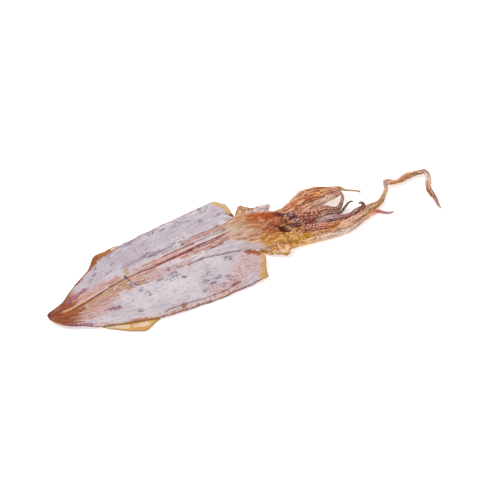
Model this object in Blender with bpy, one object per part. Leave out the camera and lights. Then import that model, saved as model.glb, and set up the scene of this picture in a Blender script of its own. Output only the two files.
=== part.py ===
"""A whole dried squid, slit open along the belly, spread flat and dried hard, as one solid.

The outlines and paths below are in millimetres on the plane the squid rests on: x runs from the tail tip
along the body to the head and arms, y is across it and z is up. The finished solid is moved so that the
middle of its underside is the origin.
"""
import functools
import math

import bpy
import numpy as np
from mathutils import Vector, noise

MM = 0.001

# Mantle, the opened body
MANTLE_THICKNESS = 2.5
EDGE_ROUNDING = 0.045
TAIL_TIP = -3.5
LEFT_EDGE = ((-3.5, -4), (0, -1), (7, 1.5), (17, 6), (26, 12), (40, 21), (60, 32), (84, 38), (115, 42.5),
             (155, 44.5), (204, 44.5))
RIGHT_EDGE = ((-3.5, -5), (-1, -10), (3, -16), (9, -22), (20, -28.5), (36, -36.5), (62, -45.5), (88, -55),
              (115, -58.5), (155, -62), (204, -63))
PEN_LINE = ((-3.5, -4.5), (8, -9.5), (22, -10.5), (38, -8.8), (52, -6.5), (67, -4.5), (82, -3.7),
            (110, -4.2), (150, -4.5), (204, -5))
PEN_HEIGHT = ((-3.5, 4.5), (20, 6.5), (50, 8), (90, 9), (150, 9), (204, 8.5))
LEFT_HEIGHT = ((-3.5, 4.5), (25, 3), (45, 2.2), (90, 2.2), (115, 1.2), (160, 1.1), (204, 3.4))
RIGHT_HEIGHT = ((-3.5, 4.5), (25, 3), (45, 2.2), (90, 2.2), (120, 1.4), (150, 1.1), (175, 2.2), (204, 4))
# Front edge, as a share of the way out from the pen to an edge against how far forward it reaches
FRONT_EDGE = ((-1, 193.5), (-0.93, 194.5), (-0.88, 195.5), (-0.76, 199), (-0.66, 202), (-0.5, 201.5),
              (0, 203), (0.44, 201), (0.65, 202), (0.78, 202), (0.86, 199.5), (0.94, 197), (1, 193.5))
EDGE_WAVE, EDGE_WAVE_LENGTH, EDGE_WAVE_START = 0.9, 13.0, 30.0
EDGE_THINNEST = 0.28
ARCH_POWER = 1.8
PEN_GROOVE_DEPTH = 1.4
PEN_GROOVE_WIDTH = ((0, 1), (60, 1.1), (110, 1.3), (135, 2), (178, 2), (190, 1.2), (204, 1))
PEN_RIDGE_HEIGHT, PEN_RIDGE_OFFSET, PEN_RIDGE_WIDTH = 0.8, 3.4, 1.7
PEN_FADE_IN, PEN_END, PEN_FADE_OUT = 20.0, 194.0, 10.0
WRINKLE_HEIGHT, WRINKLE_LENGTH, WRINKLE_SPACING = 0.5, 34.0, 9.0
# Places of the mantle's points: stations along it, crowded towards the tail, and shares of the way across
MANTLE_STATIONS = 52
FIRST_STATION, STATION_CROWDING = 0.006, 1.15
TOP_ACROSS = [0.012, 0.035, 0.07, 0.12, 0.16, 0.2, 0.25, 0.3, 0.36, 0.43, 0.5, 0.6, 0.7, 0.8, 0.9, 0.96,
              0.99, 1]
UNDER_ACROSS = [0.98, 0.8, 0.5, 0.2]

# Muscle straps that run back from the head and lie on the mantle
STRAP_LEFT = ((96, 4), (109, 9), (126, 12.5), (163, 12), (204, 12.5))
STRAP_RIGHT = ((98, -8), (116, -15.5), (137, -18), (151, -18), (162, -20), (174, -24), (192, -29),
               (204, -36))
STRAP_FROM, STRAP_RISE, STRAP_TO, STRAP_FALL = 98.0, 70.0, 208.0, 16.0
STRAP_HEIGHT, STRAP_EDGE = 1.4, 2.5
STRAP_FURROWS, FURROW_DEPTH = 6, 0.4

# Fins, two flaps of the tail's outer side that lie under the mantle
FIN_THICKNESS, FIN_RIM_SHARE = 1.4, 0.45
FIN_BITE, FIN_PRESS = 0.6, 0.1
RIGHT_FIN_ROOT = ((14, -10), (50, -13), (92, -15))
RIGHT_FIN_EDGE = ((33, -33), (44, -44), (53, -51.5), (63, -58), (74, -60), (85, -57.5), (95, -49))
LEFT_FIN_ROOT = ((14, -3), (50, 1), (96, 4))
LEFT_FIN_EDGE = ((45, 23), (51, 31), (55, 35.5), (62, 37.5), (70, 40.5), (79, 43), (88, 44.5), (95, 43.5),
                 (101, 37))
FIN_STATIONS, FIN_ROWS = 18, 7

# Head: a lumpy slab between the mantle's front edge and the crown of arms
HEAD_LEFT = ((186, 11), (200, 13), (212, 12), (222, 9.5), (230, 5), (238, 2), (248, 1), (258, -2),
             (268, -12))
HEAD_RIGHT = ((186, -26), (200, -33), (212, -36), (222, -38.5), (234, -42), (248, -44.5), (258, -44),
              (268, -36))
HEAD_TOP = ((186, 10.2), (196, 11.4), (206, 11.4), (218, 11), (230, 10.5), (245, 9), (255, 7.5),
            (268, 4.5))
HEAD_UNDER = ((186, 8), (200, 6.5), (206, 3.5), (213, 0), (258, 0), (268, 1.5))
HEAD_FROM, HEAD_TO, HEAD_STATIONS, HEAD_AROUND = 186.0, 268.0, 27, 26
HEAD_FULLNESS = 0.42
HEAD_WIDEST_SHARE, HEAD_UNDER_FULLNESS = 0.35, 1.8
HEAD_LUMP, HEAD_LUMP_SIZE = 1.8, 9.0

# Torn collar and skin flaps round the head: outline points with a height, from the root to the tip
COLLAR_FLAP = [[(200, 8, 6.5), (203, 16, 7)], [(207, 8, 7), (210.5, 22.5, 7.5)],
               [(212, 8, 7.5), (215, 18, 8)], [(219, 7, 7.5), (221, 13.5, 8)],
               [(224, 4, 7.5), (230, 11.5, 9.5)], [(230, 0, 7.5), (236.5, 7.5, 10)]]
CHEEK_FLAP = [[(202, -29, 3), (203, -35, 1.8)], [(209, -31, 3), (212, -40, 1.6)],
              [(215, -33, 3.5), (218, -44.5, 1.8)], [(220, -34, 4), (223.5, -48, 3)],
              [(226, -36, 4), (228, -45, 3.8)]]
FLAP_THICKNESS, FLAP_TIP_THINNING = 1.6, 0.4

# Beak and crumpled arm roots in the middle of the crown: place, then half sizes
BEAK_LUMPS = [((247.5, -15, 8.5), (5, 4.5, 3.5)), ((246, -24.5, 8.5), (6, 4.5, 4)),
              ((254.5, -23, 9), (5.5, 5, 4.5)), ((259.5, -28, 8.5), (5, 5, 4)),
              ((238.5, -16.5, 8), (6, 5, 3)), ((246.5, -31, 7.5), (6, 4, 3))]
LUMP_WOBBLE, LUMP_ROUGHNESS = 0.6, 2.3

# Arms: the path with its height, then the half width along it
ARMS = {
    "upper_outer": ([(237.5, 0, 5), (247.5, -0.5, 6.5), (256.5, 1, 7), (265.5, 4.5, 7.5), (274.5, 5.5, 8),
                     (283.5, 3, 8), (292.5, -0.5, 8), (301, -3.5, 8), (307, -6.5, 8), (310, -10.5, 8),
                     (315.5, -14.5, 8), (320.5, -18, 7.8), (322, -20.5, 7)],
                    [4.5, 5, 5, 4.6, 4, 3.4, 2.9, 2.4, 2, 1.3, 1, 0.9, 0.6]),
    "upper_inner": ([(244, -6.5, 6.5), (252.5, -5, 8), (262.5, -3, 8.5), (273, -3, 9), (282.5, -4, 9),
                     (292, -5, 8.8), (300, -6.5, 8.5), (305.5, -7.5, 8.3)],
                    [4.5, 4.8, 4.6, 4, 3.2, 2.6, 2.1, 1.6]),
    "upper_strip": ([(245.5, -14.5, 6), (256.5, -13.5, 7), (267, -12, 7.5), (277.5, -12, 7.5),
                     (286.5, -11.5, 7.5), (294.5, -11.5, 7.5), (301.5, -11, 7.8), (306, -9, 8)],
                    [4.5, 4.4, 3.8, 3.2, 2.7, 2.4, 2, 1.3]),
    "middle_hooked": ([(250, -18, 7), (257.5, -20, 8.5), (265.5, -22, 9), (274, -21, 8.5),
                       (280.5, -21.5, 8), (285.5, -24.5, 7.5), (290, -26.5, 7.5), (295, -25.5, 7.5),
                       (299.5, -21.5, 7.8), (303.5, -16.5, 8), (305, -11, 8.2)],
                      [5, 5, 4.6, 4, 3.2, 2.8, 2.3, 1.9, 1.6, 1.3, 1.1]),
    "middle_dark": ([(253.5, -23.5, 6), (263.5, -25, 7), (273, -26, 7), (281.5, -27, 6.5), (288, -29.5, 6),
                     (293, -30.5, 6), (298.5, -28, 6), (304.5, -25, 6), (308.5, -24.5, 6),
                     (309.5, -26.5, 6)],
                    [4.5, 4.2, 3.6, 2.8, 2.1, 1.6, 1.1, 0.9, 0.8, 0.5]),
    "middle_curled": ([(251.5, -28.5, 5), (262, -29.5, 6), (272.5, -30.5, 6), (282, -33.5, 6),
                       (290, -36.5, 5.5), (298, -39, 5.5), (305, -37.5, 6), (310.5, -37, 6.5),
                       (314.5, -36, 7), (316, -33, 7), (314.5, -31, 7), (312.5, -31, 6.5)],
                      [4.2, 4, 3.4, 2.8, 2.5, 2.4, 2.2, 1.8, 1.3, 1, 0.8, 0.6]),
    "lower_inner": ([(238, -27, 6), (247, -32, 7), (256.5, -35, 7.5), (266, -37.5, 7), (275.5, -40.5, 6.5),
                     (283.5, -41.5, 6), (291, -42, 5.5)], [4.2, 4.2, 3.8, 3.3, 2.8, 2.3, 1.6]),
    "under": ([(238, -22, 3), (256, -27, 3), (272, -31, 2.6), (286, -35, 2.4), (297, -38.5, 2.2)],
              [5, 4.6, 4, 3.2, 1.8]),
    "short_tentacle": ([(218, -34.5, 3), (231, -38.5, 3.2), (244.5, -41.5, 3.2), (258, -45, 3.2),
                        (271.5, -48, 3), (284, -50, 3), (294.5, -49.5, 3), (305, -47, 3),
                        (315, -44.5, 2.8), (322.5, -44, 2.6), (326.5, -46, 2.4), (330, -49.5, 2.2),
                        (334.5, -52.5, 2.2), (339, -53.5, 2.5)],
                       [4.5, 4.6, 4.4, 4, 3.8, 3.6, 3.3, 3, 2.8, 2.4, 1.8, 1.3, 1, 0.7]),
    "long_tentacle": ([(216.5, -26.5, 3.5), (229, -31.5, 4), (242.5, -34.5, 4), (256, -38, 4),
                       (269, -42, 4), (280.5, -45, 4), (291, -45.5, 4), (302.5, -44, 4), (312, -41, 4),
                       (320.5, -38.5, 4),
                       (328, -38.5, 3.8), (334.5, -37, 3.8), (341, -32, 3.8), (347, -27, 4),
                       (349.5, -22, 4.2), (353, -19, 4.2), (357, -21.5, 4), (362, -23.5, 3.8),
                       (367, -23.5, 3.8), (375, -22.5, 3.8), (382, -23, 3.8), (388.5, -24.5, 4),
                       (393, -26, 4.2), (393.5, -30.5, 4.2), (390.5, -36.5, 4), (386, -42.5, 3.8),
                       (383.5, -48, 3.6), (383, -54, 3.2), (382.5, -60, 2.8), (381, -66, 2.5),
                       (380.5, -72, 2)],
                      [5, 5.2, 5, 4.8, 4.6, 4.5, 4.3, 4, 3.7, 3.5, 3, 2.5, 2.2, 2.1, 2.6, 3, 3.2, 2.8, 2.9,
                       3.2, 2.6, 2.4, 2.6, 2.8, 2.8, 2.9, 2.8, 2.5, 2, 1.4, 0.6]),
}
ARM_FLATNESS = 0.78
ARM_AROUND, ARM_STEP = 8, 4.2
FEWEST_RINGS = 6
WEB_THICKNESS, WEB_SAG, WEB_STATIONS = 2.2, 0.8, 10
# Pairs of arms with skin between them, and how far along the arms it reaches
WEBS = [("upper_outer", "upper_inner", 0.85), ("upper_inner", "upper_strip", 0.8),
        ("upper_strip", "middle_hooked", 0.4), ("middle_hooked", "middle_dark", 0.65),
        ("middle_dark", "middle_curled", 0.6), ("middle_curled", "lower_inner", 0.55),
        ("lower_inner", "long_tentacle", 0.4), ("long_tentacle", "short_tentacle", 0.36)]

# The underside is pressed flat wherever it rests, and may reach this far too low before the cut
PRESSED = 0.5
CUT_LENGTH, CUT_WIDTH, CUT_DEPTH = 600.0, 300.0, 10.0
FLESH_COLOUR = (0.62, 0.45, 0.36, 1.0)
FLESH_ROUGHNESS = 0.55
SHARP_ANGLE = 50.0


@functools.cache
def smooth(points, steps=10):
    """Points read from one Catmull-Rom curve through the given ones."""
    given = np.array(points, float)
    ends = np.vstack([2 * given[0] - given[1], given, 2 * given[-1] - given[-2]])
    found = []
    for a, b, c, d in zip(ends, ends[1:], ends[2:], ends[3:]):
        for t in np.linspace(0, 1, steps, endpoint=False):
            found.append(0.5 * (2 * b + (c - a) * t + (2 * a - 5 * b + 4 * c - d) * t**2
                                + (3 * b - a - 3 * c + d) * t**3))
    return np.array(found + [given[-1]])


def read(points, x):
    """The height of the smooth curve through points at x."""
    curve = smooth(points)
    return float(np.interp(x, curve[:, 0], curve[:, 1]))


def bump(distance, width):
    """A rounded ridge, 1 high in its middle."""
    return math.exp(-((distance / width) ** 2))


def new_object(name, points, faces):
    """A mesh object from points in millimetres."""
    mesh = bpy.data.meshes.new(name)
    mesh.from_pydata([tuple(c * MM for c in p) for p in points], [], faces)
    mesh.validate()
    made = bpy.data.objects.new(name, mesh)
    bpy.context.scene.collection.objects.link(made)
    return made


def loft(name, rings):
    """A closed solid over rings that all have the same number of points, with both ends capped."""
    around = len(rings[0])
    points = [p for ring in rings for p in ring]
    faces = []
    for i in range(len(rings) - 1):
        for j in range(around):
            k = (j + 1) % around
            faces.append((i * around + j, (i + 1) * around + j, (i + 1) * around + k, i * around + k))
    last = (len(rings) - 1) * around
    faces.append(tuple(range(around)))
    faces.append(tuple(last + j for j in reversed(range(around))))
    return new_object(name, points, faces)


def mantle_place(x, share):
    """The y and the height of the mantle's middle layer at x, share of the way from the pen to an edge."""
    pen = read(PEN_LINE, x)
    edge, height, side = (LEFT_EDGE, LEFT_HEIGHT, 1) if share > 0 else (RIGHT_EDGE, RIGHT_HEIGHT, -1)
    wave = side * EDGE_WAVE * noise.noise((x / EDGE_WAVE_LENGTH, side, 5.5)) * rise(x / EDGE_WAVE_START)
    y = pen + abs(share) * (read(edge, x) + wave - pen)
    low = read(height, x)
    z = low + (read(PEN_HEIGHT, x) - low) * (1 - abs(share) ** ARCH_POWER)
    return y, z


def mantle_height(x, y):
    """The height of the mantle's middle layer over a place, or of its edge beyond that."""
    pen = read(PEN_LINE, x)
    edge = read(LEFT_EDGE if y > pen else RIGHT_EDGE, x)
    share = min(1.0, (y - pen) / (edge - pen))
    return mantle_place(x, share if y > pen else -share)[1]


def rise(value):
    """A smooth step from 0 to 1."""
    value = min(1.0, max(0.0, value))
    return value * value * (3 - 2 * value)


def strap_relief(x, y):
    """How far the furrowed muscle straps stand above the mantle."""
    if x < STRAP_FROM:
        return 0.0
    left, right = read(STRAP_LEFT, x), read(STRAP_RIGHT, x)
    inside = rise((left - y) / STRAP_EDGE) * rise((y - right) / STRAP_EDGE)
    furrows = FURROW_DEPTH * math.cos(2 * math.pi * STRAP_FURROWS * (y - right) / (left - right))
    along = rise((x - STRAP_FROM) / STRAP_RISE) * rise((STRAP_TO - x) / STRAP_FALL)
    return along * inside * (STRAP_HEIGHT + furrows)


def mantle_relief(x, y, share):
    """How far the inner face stands off a smooth sheet: pen groove, ridges, straps and wrinkles."""
    from_pen = y - read(PEN_LINE, x)
    fade = rise(x / PEN_FADE_IN) * rise((PEN_END - x) / PEN_FADE_OUT)
    groove = -PEN_GROOVE_DEPTH * bump(from_pen, read(PEN_GROOVE_WIDTH, x))
    ridges = PEN_RIDGE_HEIGHT * bump(abs(from_pen) - PEN_RIDGE_OFFSET, PEN_RIDGE_WIDTH)
    wrinkles = WRINKLE_HEIGHT * noise.noise((x / WRINKLE_LENGTH, y / WRINKLE_SPACING, 3.1))
    return (groove + ridges) * fade + wrinkles * (1 - share**4) + strap_relief(x, y)


def make_mantle():
    """The opened mantle: a thin arched sheet with a rounded rim, finer round the pen and the rim."""
    top_shares = [-s for s in reversed(TOP_ACROSS)] + TOP_ACROSS
    under_shares = UNDER_ACROSS + [-s for s in reversed(UNDER_ACROSS)]
    rings = []
    for i in range(MANTLE_STATIONS):
        along = FIRST_STATION + (1 - FIRST_STATION) * (i / (MANTLE_STATIONS - 1)) ** STATION_CROWDING
        ring = []
        for share, side in [(s, 1) for s in top_shares] + [(s, -1) for s in under_shares]:
            x = TAIL_TIP + along * (read(FRONT_EDGE, share) - TAIL_TIP)
            y, z = mantle_place(x, share)
            inward = min(1.0, (1 - abs(share)) / EDGE_ROUNDING)
            half = MANTLE_THICKNESS / 2 * max(EDGE_THINNEST, math.sqrt(1 - (1 - inward) ** 2))
            relief = mantle_relief(x, y, share) if side > 0 else 0
            ring.append((x, y, max(-PRESSED, z + side * half + relief)))
        rings.append(ring)
    return loft("mantle", rings)


def make_fin(name, root, edge):
    """One fin: a thin flap from a root under the mantle out past the mantle's edge, flat on the ground."""
    root_line, edge_line = smooth(root), smooth(edge)
    rings = []
    for i in range(FIN_STATIONS):
        along = i / (FIN_STATIONS - 1)
        ends = []
        for line in (root_line, edge_line):
            place = along * (len(line) - 1)
            ends.append([np.interp(place, range(len(line)), line[:, axis]) for axis in (0, 1)])
        inner, outer = np.array(ends)
        top, under = [], []
        for j in range(FIN_ROWS):
            x, y = inner + (outer - inner) * j / (FIN_ROWS - 1)
            half = FIN_THICKNESS / 2 * (FIN_RIM_SHARE if j == FIN_ROWS - 1 else 1)
            z = mantle_height(x, y) - MANTLE_THICKNESS / 2 - FIN_THICKNESS / 2 + FIN_BITE
            z = max(FIN_THICKNESS / 2 - FIN_PRESS, z)
            top.append((x, y, z + half))
            under.append((x, y, max(-PRESSED, z - half)))
        rings.append(top + under[::-1])
    return loft(name, rings)


def make_head():
    """The head: a lumpy slab that starts inside the front of the mantle and comes down to the ground."""
    rings = []
    for x in np.linspace(HEAD_FROM, HEAD_TO, HEAD_STATIONS):
        left, right = read(HEAD_LEFT, x), read(HEAD_RIGHT, x)
        top, under = read(HEAD_TOP, x), float(np.interp(x, *zip(*HEAD_UNDER)))
        middle = under + HEAD_WIDEST_SHARE * (top - under)
        ring = []
        for k in range(HEAD_AROUND):
            turn = 2 * math.pi * k / HEAD_AROUND
            out, up = math.cos(turn), math.sin(turn)
            y = (left + right) / 2 + (left - right) / 2 * out
            if up > 0:
                lift = HEAD_LUMP * noise.noise((x / HEAD_LUMP_SIZE, y / HEAD_LUMP_SIZE, 7.7))
                z = middle + (top - middle) * up**HEAD_FULLNESS + lift * up
            else:
                z = middle - (middle - under + PRESSED) * min(1.0, -HEAD_UNDER_FULLNESS * up)
            ring.append((x, y, z))
        rings.append(ring)
    return loft("head", rings)


def make_flap(name, lines):
    """A torn flap of skin between a root line and a tip line, thinner towards its tip."""
    rings = []
    for root, tip in lines:
        a, b = np.array(root, float), np.array(tip, float)
        ring = []
        for share, side in [(0, 1), (0.5, 1), (1, 1), (1, -1), (0.5, -1), (0, -1)]:
            p = a + (b - a) * share
            p[2] += side * FLAP_THICKNESS / 2 * (1 - FLAP_TIP_THINNING * share)
            ring.append(tuple(p))
        rings.append(ring)
    return loft(name, rings)


def arm_line(name):
    """Places along an arm with the half width at each, evenly stepped."""
    path, widths = ARMS[name]
    line = smooth(tuple((*p, w) for p, w in zip(path, widths)))
    lengths = np.concatenate([[0], np.cumsum(np.linalg.norm(np.diff(line[:, :3], axis=0), axis=1))])
    count = max(FEWEST_RINGS, round(lengths[-1] / ARM_STEP))
    at = np.linspace(0, lengths[-1], count)
    return np.array([np.interp(at, lengths, line[:, axis]) for axis in range(4)]).T


def make_arm(name):
    """One arm or tentacle: a tapered tube, wider than high, pressed flat underneath."""
    line = arm_line(name)
    rings = []
    for i, (*place, half) in enumerate(line):
        ahead = line[min(i + 1, len(line) - 1), :3] - line[max(i - 1, 0), :3]
        ahead /= np.linalg.norm(ahead)
        side = np.cross((0, 0, 1), ahead)
        side /= np.linalg.norm(side)
        up = np.cross(ahead, side)
        ring = []
        for k in range(ARM_AROUND):
            turn = 2 * math.pi * (k + 0.5) / ARM_AROUND
            p = np.array(place) + half * (side * math.cos(turn) + ARM_FLATNESS * up * math.sin(turn))
            ring.append((p[0], p[1], max(-PRESSED, p[2])))
        rings.append(ring)
    return loft(name, rings)


def make_web(first, second, reach):
    """The skin between two arms, which reaches some way along them."""
    rings = []
    a_line, b_line = arm_line(first), arm_line(second)
    for i in range(WEB_STATIONS):
        ends = []
        for line in (a_line, b_line):
            place = reach * i / (WEB_STATIONS - 1) * (len(line) - 1)
            ends.append(np.array([np.interp(place, range(len(line)), line[:, axis]) for axis in range(3)]))
        ring = []
        for share, side in [(0, 1), (0.5, 1), (1, 1), (1, -1), (0.5, -1), (0, -1)]:
            p = ends[0] + (ends[1] - ends[0]) * share
            p[2] += side * WEB_THICKNESS / 2 - WEB_SAG * (share == 0.5)
            ring.append(tuple(p))
        rings.append(ring)
    return loft(f"web_{first}_{second}", rings)


def make_lump(index, place, halves):
    """One crumpled lump of the crown."""
    bpy.ops.mesh.primitive_ico_sphere_add(subdivisions=2, radius=1)
    lump = bpy.context.object
    lump.name = f"lump_{index}"
    for vertex in lump.data.vertices:
        wobble = 1 + LUMP_WOBBLE * noise.noise(vertex.co * LUMP_ROUGHNESS + Vector((index, 0, 0)))
        vertex.co = [(p + h * c * wobble) * MM for p, h, c in zip(place, halves, vertex.co)]
    return lump


def outward(piece):
    """Turns a piece's faces outwards."""
    bpy.context.view_layer.objects.active = piece
    bpy.ops.object.mode_set(mode="EDIT")
    bpy.ops.mesh.select_all(action="SELECT")
    bpy.ops.mesh.normals_make_consistent(inside=False)
    bpy.ops.object.mode_set(mode="OBJECT")


def joined(base, others):
    """One solid from a base and the pieces that touch it."""
    group = bpy.data.collections.new("pieces")
    bpy.context.scene.collection.children.link(group)
    for piece in others:
        for owner in piece.users_collection:
            owner.objects.unlink(piece)
        group.objects.link(piece)
    union = base.modifiers.new("union", "BOOLEAN")
    union.operation = "UNION"
    union.operand_type = "COLLECTION"
    union.collection = group
    union.solver = "MANIFOLD"
    bpy.context.view_layer.objects.active = base
    bpy.ops.object.modifier_apply(modifier=union.name)
    for piece in list(group.objects):
        bpy.data.objects.remove(piece)
    bpy.data.collections.remove(group)
    return base


def press_flat(piece):
    """Cuts off what reaches too low, which leaves the flat spots the squid rests on."""
    middle = (CUT_LENGTH / 2 * MM - 2 * CUT_DEPTH * MM, 0, -CUT_DEPTH / 2 * MM)
    bpy.ops.mesh.primitive_cube_add(size=1, location=middle)
    block = bpy.context.object
    block.scale = (CUT_LENGTH * MM, CUT_WIDTH * MM, CUT_DEPTH * MM)
    bpy.ops.object.transform_apply(location=False, rotation=False, scale=True)
    cut = piece.modifiers.new("cut", "BOOLEAN")
    cut.operation = "DIFFERENCE"
    cut.object = block
    cut.solver = "MANIFOLD"
    bpy.context.view_layer.objects.active = piece
    bpy.ops.object.modifier_apply(modifier=cut.name)
    bpy.data.objects.remove(block)


def centre(piece):
    """Moves the mesh so that the middle of its box's underside is the origin."""
    places = np.array([v.co for v in piece.data.vertices])
    low, high = places.min(axis=0), places.max(axis=0)
    middle = (low + high) / 2
    for vertex in piece.data.vertices:
        vertex.co = (vertex.co[0] - middle[0], vertex.co[1] - middle[1], vertex.co[2] - low[2])


def dried_flesh():
    """Hard, half clear squid flesh under a pale bloom."""
    material = bpy.data.materials.new("dried_flesh")
    material.use_nodes = True
    shader = material.node_tree.nodes["Principled BSDF"]
    shader.inputs["Base Color"].default_value = FLESH_COLOUR
    shader.inputs["Roughness"].default_value = FLESH_ROUGHNESS
    return material


def main():
    for old in list(bpy.data.objects):
        bpy.data.objects.remove(old)
    mantle = make_mantle()
    others = [
        make_fin("right_fin", RIGHT_FIN_ROOT, RIGHT_FIN_EDGE),
        make_fin("left_fin", LEFT_FIN_ROOT, LEFT_FIN_EDGE),
        make_head(),
        make_flap("collar_flap", COLLAR_FLAP),
        make_flap("cheek_flap", CHEEK_FLAP),
    ]
    others += [make_arm(name) for name in ARMS]
    others += [make_web(*web) for web in WEBS]
    others += [make_lump(i, place, halves) for i, (place, halves) in enumerate(BEAK_LUMPS)]
    for piece in [mantle, *others]:
        outward(piece)
    squid = joined(mantle, others)
    press_flat(squid)
    centre(squid)
    squid.name = squid.data.name = "dried_squid"
    squid.data.materials.clear()
    squid.data.materials.append(dried_flesh())
    squid.data.shade_smooth()
    squid.data.set_sharp_from_angle(angle=math.radians(SHARP_ANGLE))


main()
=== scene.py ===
"""A whole dried squid, slit open along the belly, spread flat and dried hard, as it lies on a table.

Places are in millimetres on the drawing of the squid: x runs from the tail tip along the body to the head
and arms, y is across it and z is up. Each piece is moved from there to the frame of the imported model.
"""
import functools
import math

import bpy
import numpy as np
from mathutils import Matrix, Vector, noise


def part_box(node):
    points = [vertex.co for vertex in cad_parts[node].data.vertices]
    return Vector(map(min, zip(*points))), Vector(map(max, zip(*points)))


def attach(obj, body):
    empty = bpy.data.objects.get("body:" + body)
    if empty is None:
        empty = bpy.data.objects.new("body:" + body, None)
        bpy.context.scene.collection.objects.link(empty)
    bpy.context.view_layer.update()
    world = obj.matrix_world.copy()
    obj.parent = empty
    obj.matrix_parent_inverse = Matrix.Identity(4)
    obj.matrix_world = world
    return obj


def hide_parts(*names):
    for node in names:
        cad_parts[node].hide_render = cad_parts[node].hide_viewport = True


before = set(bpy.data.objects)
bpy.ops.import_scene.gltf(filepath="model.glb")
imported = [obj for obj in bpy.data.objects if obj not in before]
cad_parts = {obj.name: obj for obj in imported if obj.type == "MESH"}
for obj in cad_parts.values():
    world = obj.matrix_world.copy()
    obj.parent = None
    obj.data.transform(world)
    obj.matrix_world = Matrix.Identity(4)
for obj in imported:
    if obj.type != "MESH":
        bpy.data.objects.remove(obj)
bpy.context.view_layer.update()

# The table and the light
# A white table top under one broad soft window light from behind the squid's left side, with white walls
# all round. The table is bright enough to go clear white, so that only a faint shadow shows.
MM = 0.001
FLOOR_SIZE = 6.0
WALL_LIGHT = 0.58
WINDOW_LIGHT = 1.95
WINDOW_SPREAD = 20.0
WINDOW_FROM = (-0.55, 0.7, 1.45)
TABLE_GLOW = 0.42


def tone(code):
    """The linear colour of an sRGB hex value."""
    shares = [int(code[i : i + 2], 16) / 255 for i in (1, 3, 5)]
    return (*[s / 12.92 if s < 0.04045 else ((s + 0.055) / 1.055) ** 2.4 for s in shares], 1.0)


def feed(made, sockets):
    """Gives a node's sockets their values or links, by name or in order."""
    for name, value in sockets.items() if isinstance(sockets, dict) else enumerate(sockets):
        if isinstance(value, bpy.types.NodeSocket):
            made.id_data.links.new(value, made.inputs[name])
        else:
            made.inputs[name].default_value = value


def node(tree, kind, sockets=(), stops=(), **settings):
    """Adds a node with settings, its sockets' values or links, and its colour stops. Gives its outputs."""
    made = tree.nodes.new("ShaderNode" + kind)
    for name, value in settings.items():
        setattr(made, name, value)
    feed(made, sockets)
    for i, (place, colour) in enumerate(stops):
        ramp = made.color_ramp.elements
        stop = ramp[i] if i < 2 else ramp.new(place)
        stop.position, stop.color = place, tone(colour)
    return made.outputs


def new_material(name):
    """A material, its bare principled shader, and node with the material's tree filled in."""
    material = bpy.data.materials.new(name)
    material.use_nodes = True
    return material, material.node_tree.nodes["Principled BSDF"], functools.partial(node, material.node_tree)


def per(size):
    """The scale of a pattern from the real size of its grains in mm."""
    return 1 / (size * MM)


def table_paint():
    """Matt white table paint, rolled on in 15 mm patches: no gloss, so no reflections and a faint shadow."""
    material, shader, add = new_material("white_table_paint")
    patches = add("TexNoise", {0: add("TexCoord")[3], "Scale": per(15), "Detail": 2})[0]
    shade = add("ValToRGB", (patches,), ((0, "#FAFAFA"), (1, "#FEFEFE")))[0]
    feed(shader, {"Base Color": shade, "Roughness": 0.9, "Specular IOR Level": 0.1,
                  "Emission Color": tone("#FFFFFF"), "Emission Strength": TABLE_GLOW})
    return material


def started(name, primitive, **sizes):
    """A primitive that a piece is made from, selected alone."""
    bpy.ops.object.select_all(action="DESELECT")
    primitive(**sizes)
    made = bpy.context.object
    made.name = made.data.name = name
    return made


table = started("table_top", bpy.ops.mesh.primitive_plane_add, size=FLOOR_SIZE)
table.data.materials.append(table_paint())

world = bpy.data.worlds.new("white_walls")
world.use_nodes = True
feed(world.node_tree.nodes["Background"], {"Color": tone("#FFFFFF"), "Strength": WALL_LIGHT})
bpy.context.scene.world = world

window = bpy.data.lights.new("window", "SUN")
window.energy = WINDOW_LIGHT
window.angle = math.radians(WINDOW_SPREAD)
window_object = bpy.data.objects.new("window", window)
window_object.rotation_euler = Vector(WINDOW_FROM).to_track_quat("Z", "Y").to_euler()
bpy.context.scene.collection.objects.link(window_object)

# The camera
# It stands in front of the squid, to the side of its tail, and looks down on it with a long lens.
CAMERA_AZIMUTH, CAMERA_ELEVATION = -30.0, 50.0
CAMERA_DISTANCE, LENS = 1.25867, 100.0
LOOK_AT = (-0.00293, 0.00490, 0)

azimuth, elevation = math.radians(CAMERA_AZIMUTH), math.radians(CAMERA_ELEVATION)
back = Vector((math.sin(azimuth) * math.cos(elevation), -math.cos(azimuth) * math.cos(elevation),
               math.sin(elevation)))
camera = bpy.data.objects.new("camera", bpy.data.cameras.new("camera"))
camera.data.lens = LENS
camera.data.sensor_width = 36.0
camera.location = Vector(LOOK_AT) + CAMERA_DISTANCE * back
camera.rotation_euler = back.to_track_quat("Z", "Y").to_euler()
bpy.context.scene.collection.objects.link(camera)
bpy.context.scene.camera = camera
bpy.context.scene.view_settings.view_transform = "Standard"

# The mantle
# The body's thick muscle wall, slit along the belly and opened into an arched sheet with its inner face up.
# Drying leaves it hard and half clear, with a pale bloom on the inner face and the groove of the pulled pen.
DRAWN_TAIL, DRAWN_LEFT = -2.318, 44.655
THICKNESS = 2.5
TAIL_TIP = -3.5
LEFT_EDGE = ((-3.5, -4), (0, -1), (7, 1.5), (17, 6), (26, 12), (40, 21), (60, 32), (84, 38), (115, 42.5),
             (155, 44.5), (204, 44.5))
RIGHT_EDGE = ((-3.5, -5), (-1, -10), (3, -16), (9, -22), (20, -28.5), (36, -36.5), (62, -45.5), (88, -55),
              (115, -58.5), (155, -62), (204, -63))
PEN_LINE = ((-3.5, -4.5), (8, -9.5), (22, -10.5), (38, -8.8), (52, -6.5), (67, -4.5), (82, -3.7),
            (110, -4.2), (150, -4.5), (204, -5))
PEN_HEIGHT = ((-3.5, 4.5), (20, 6.5), (50, 8), (90, 9), (150, 9), (204, 8.5))
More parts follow.
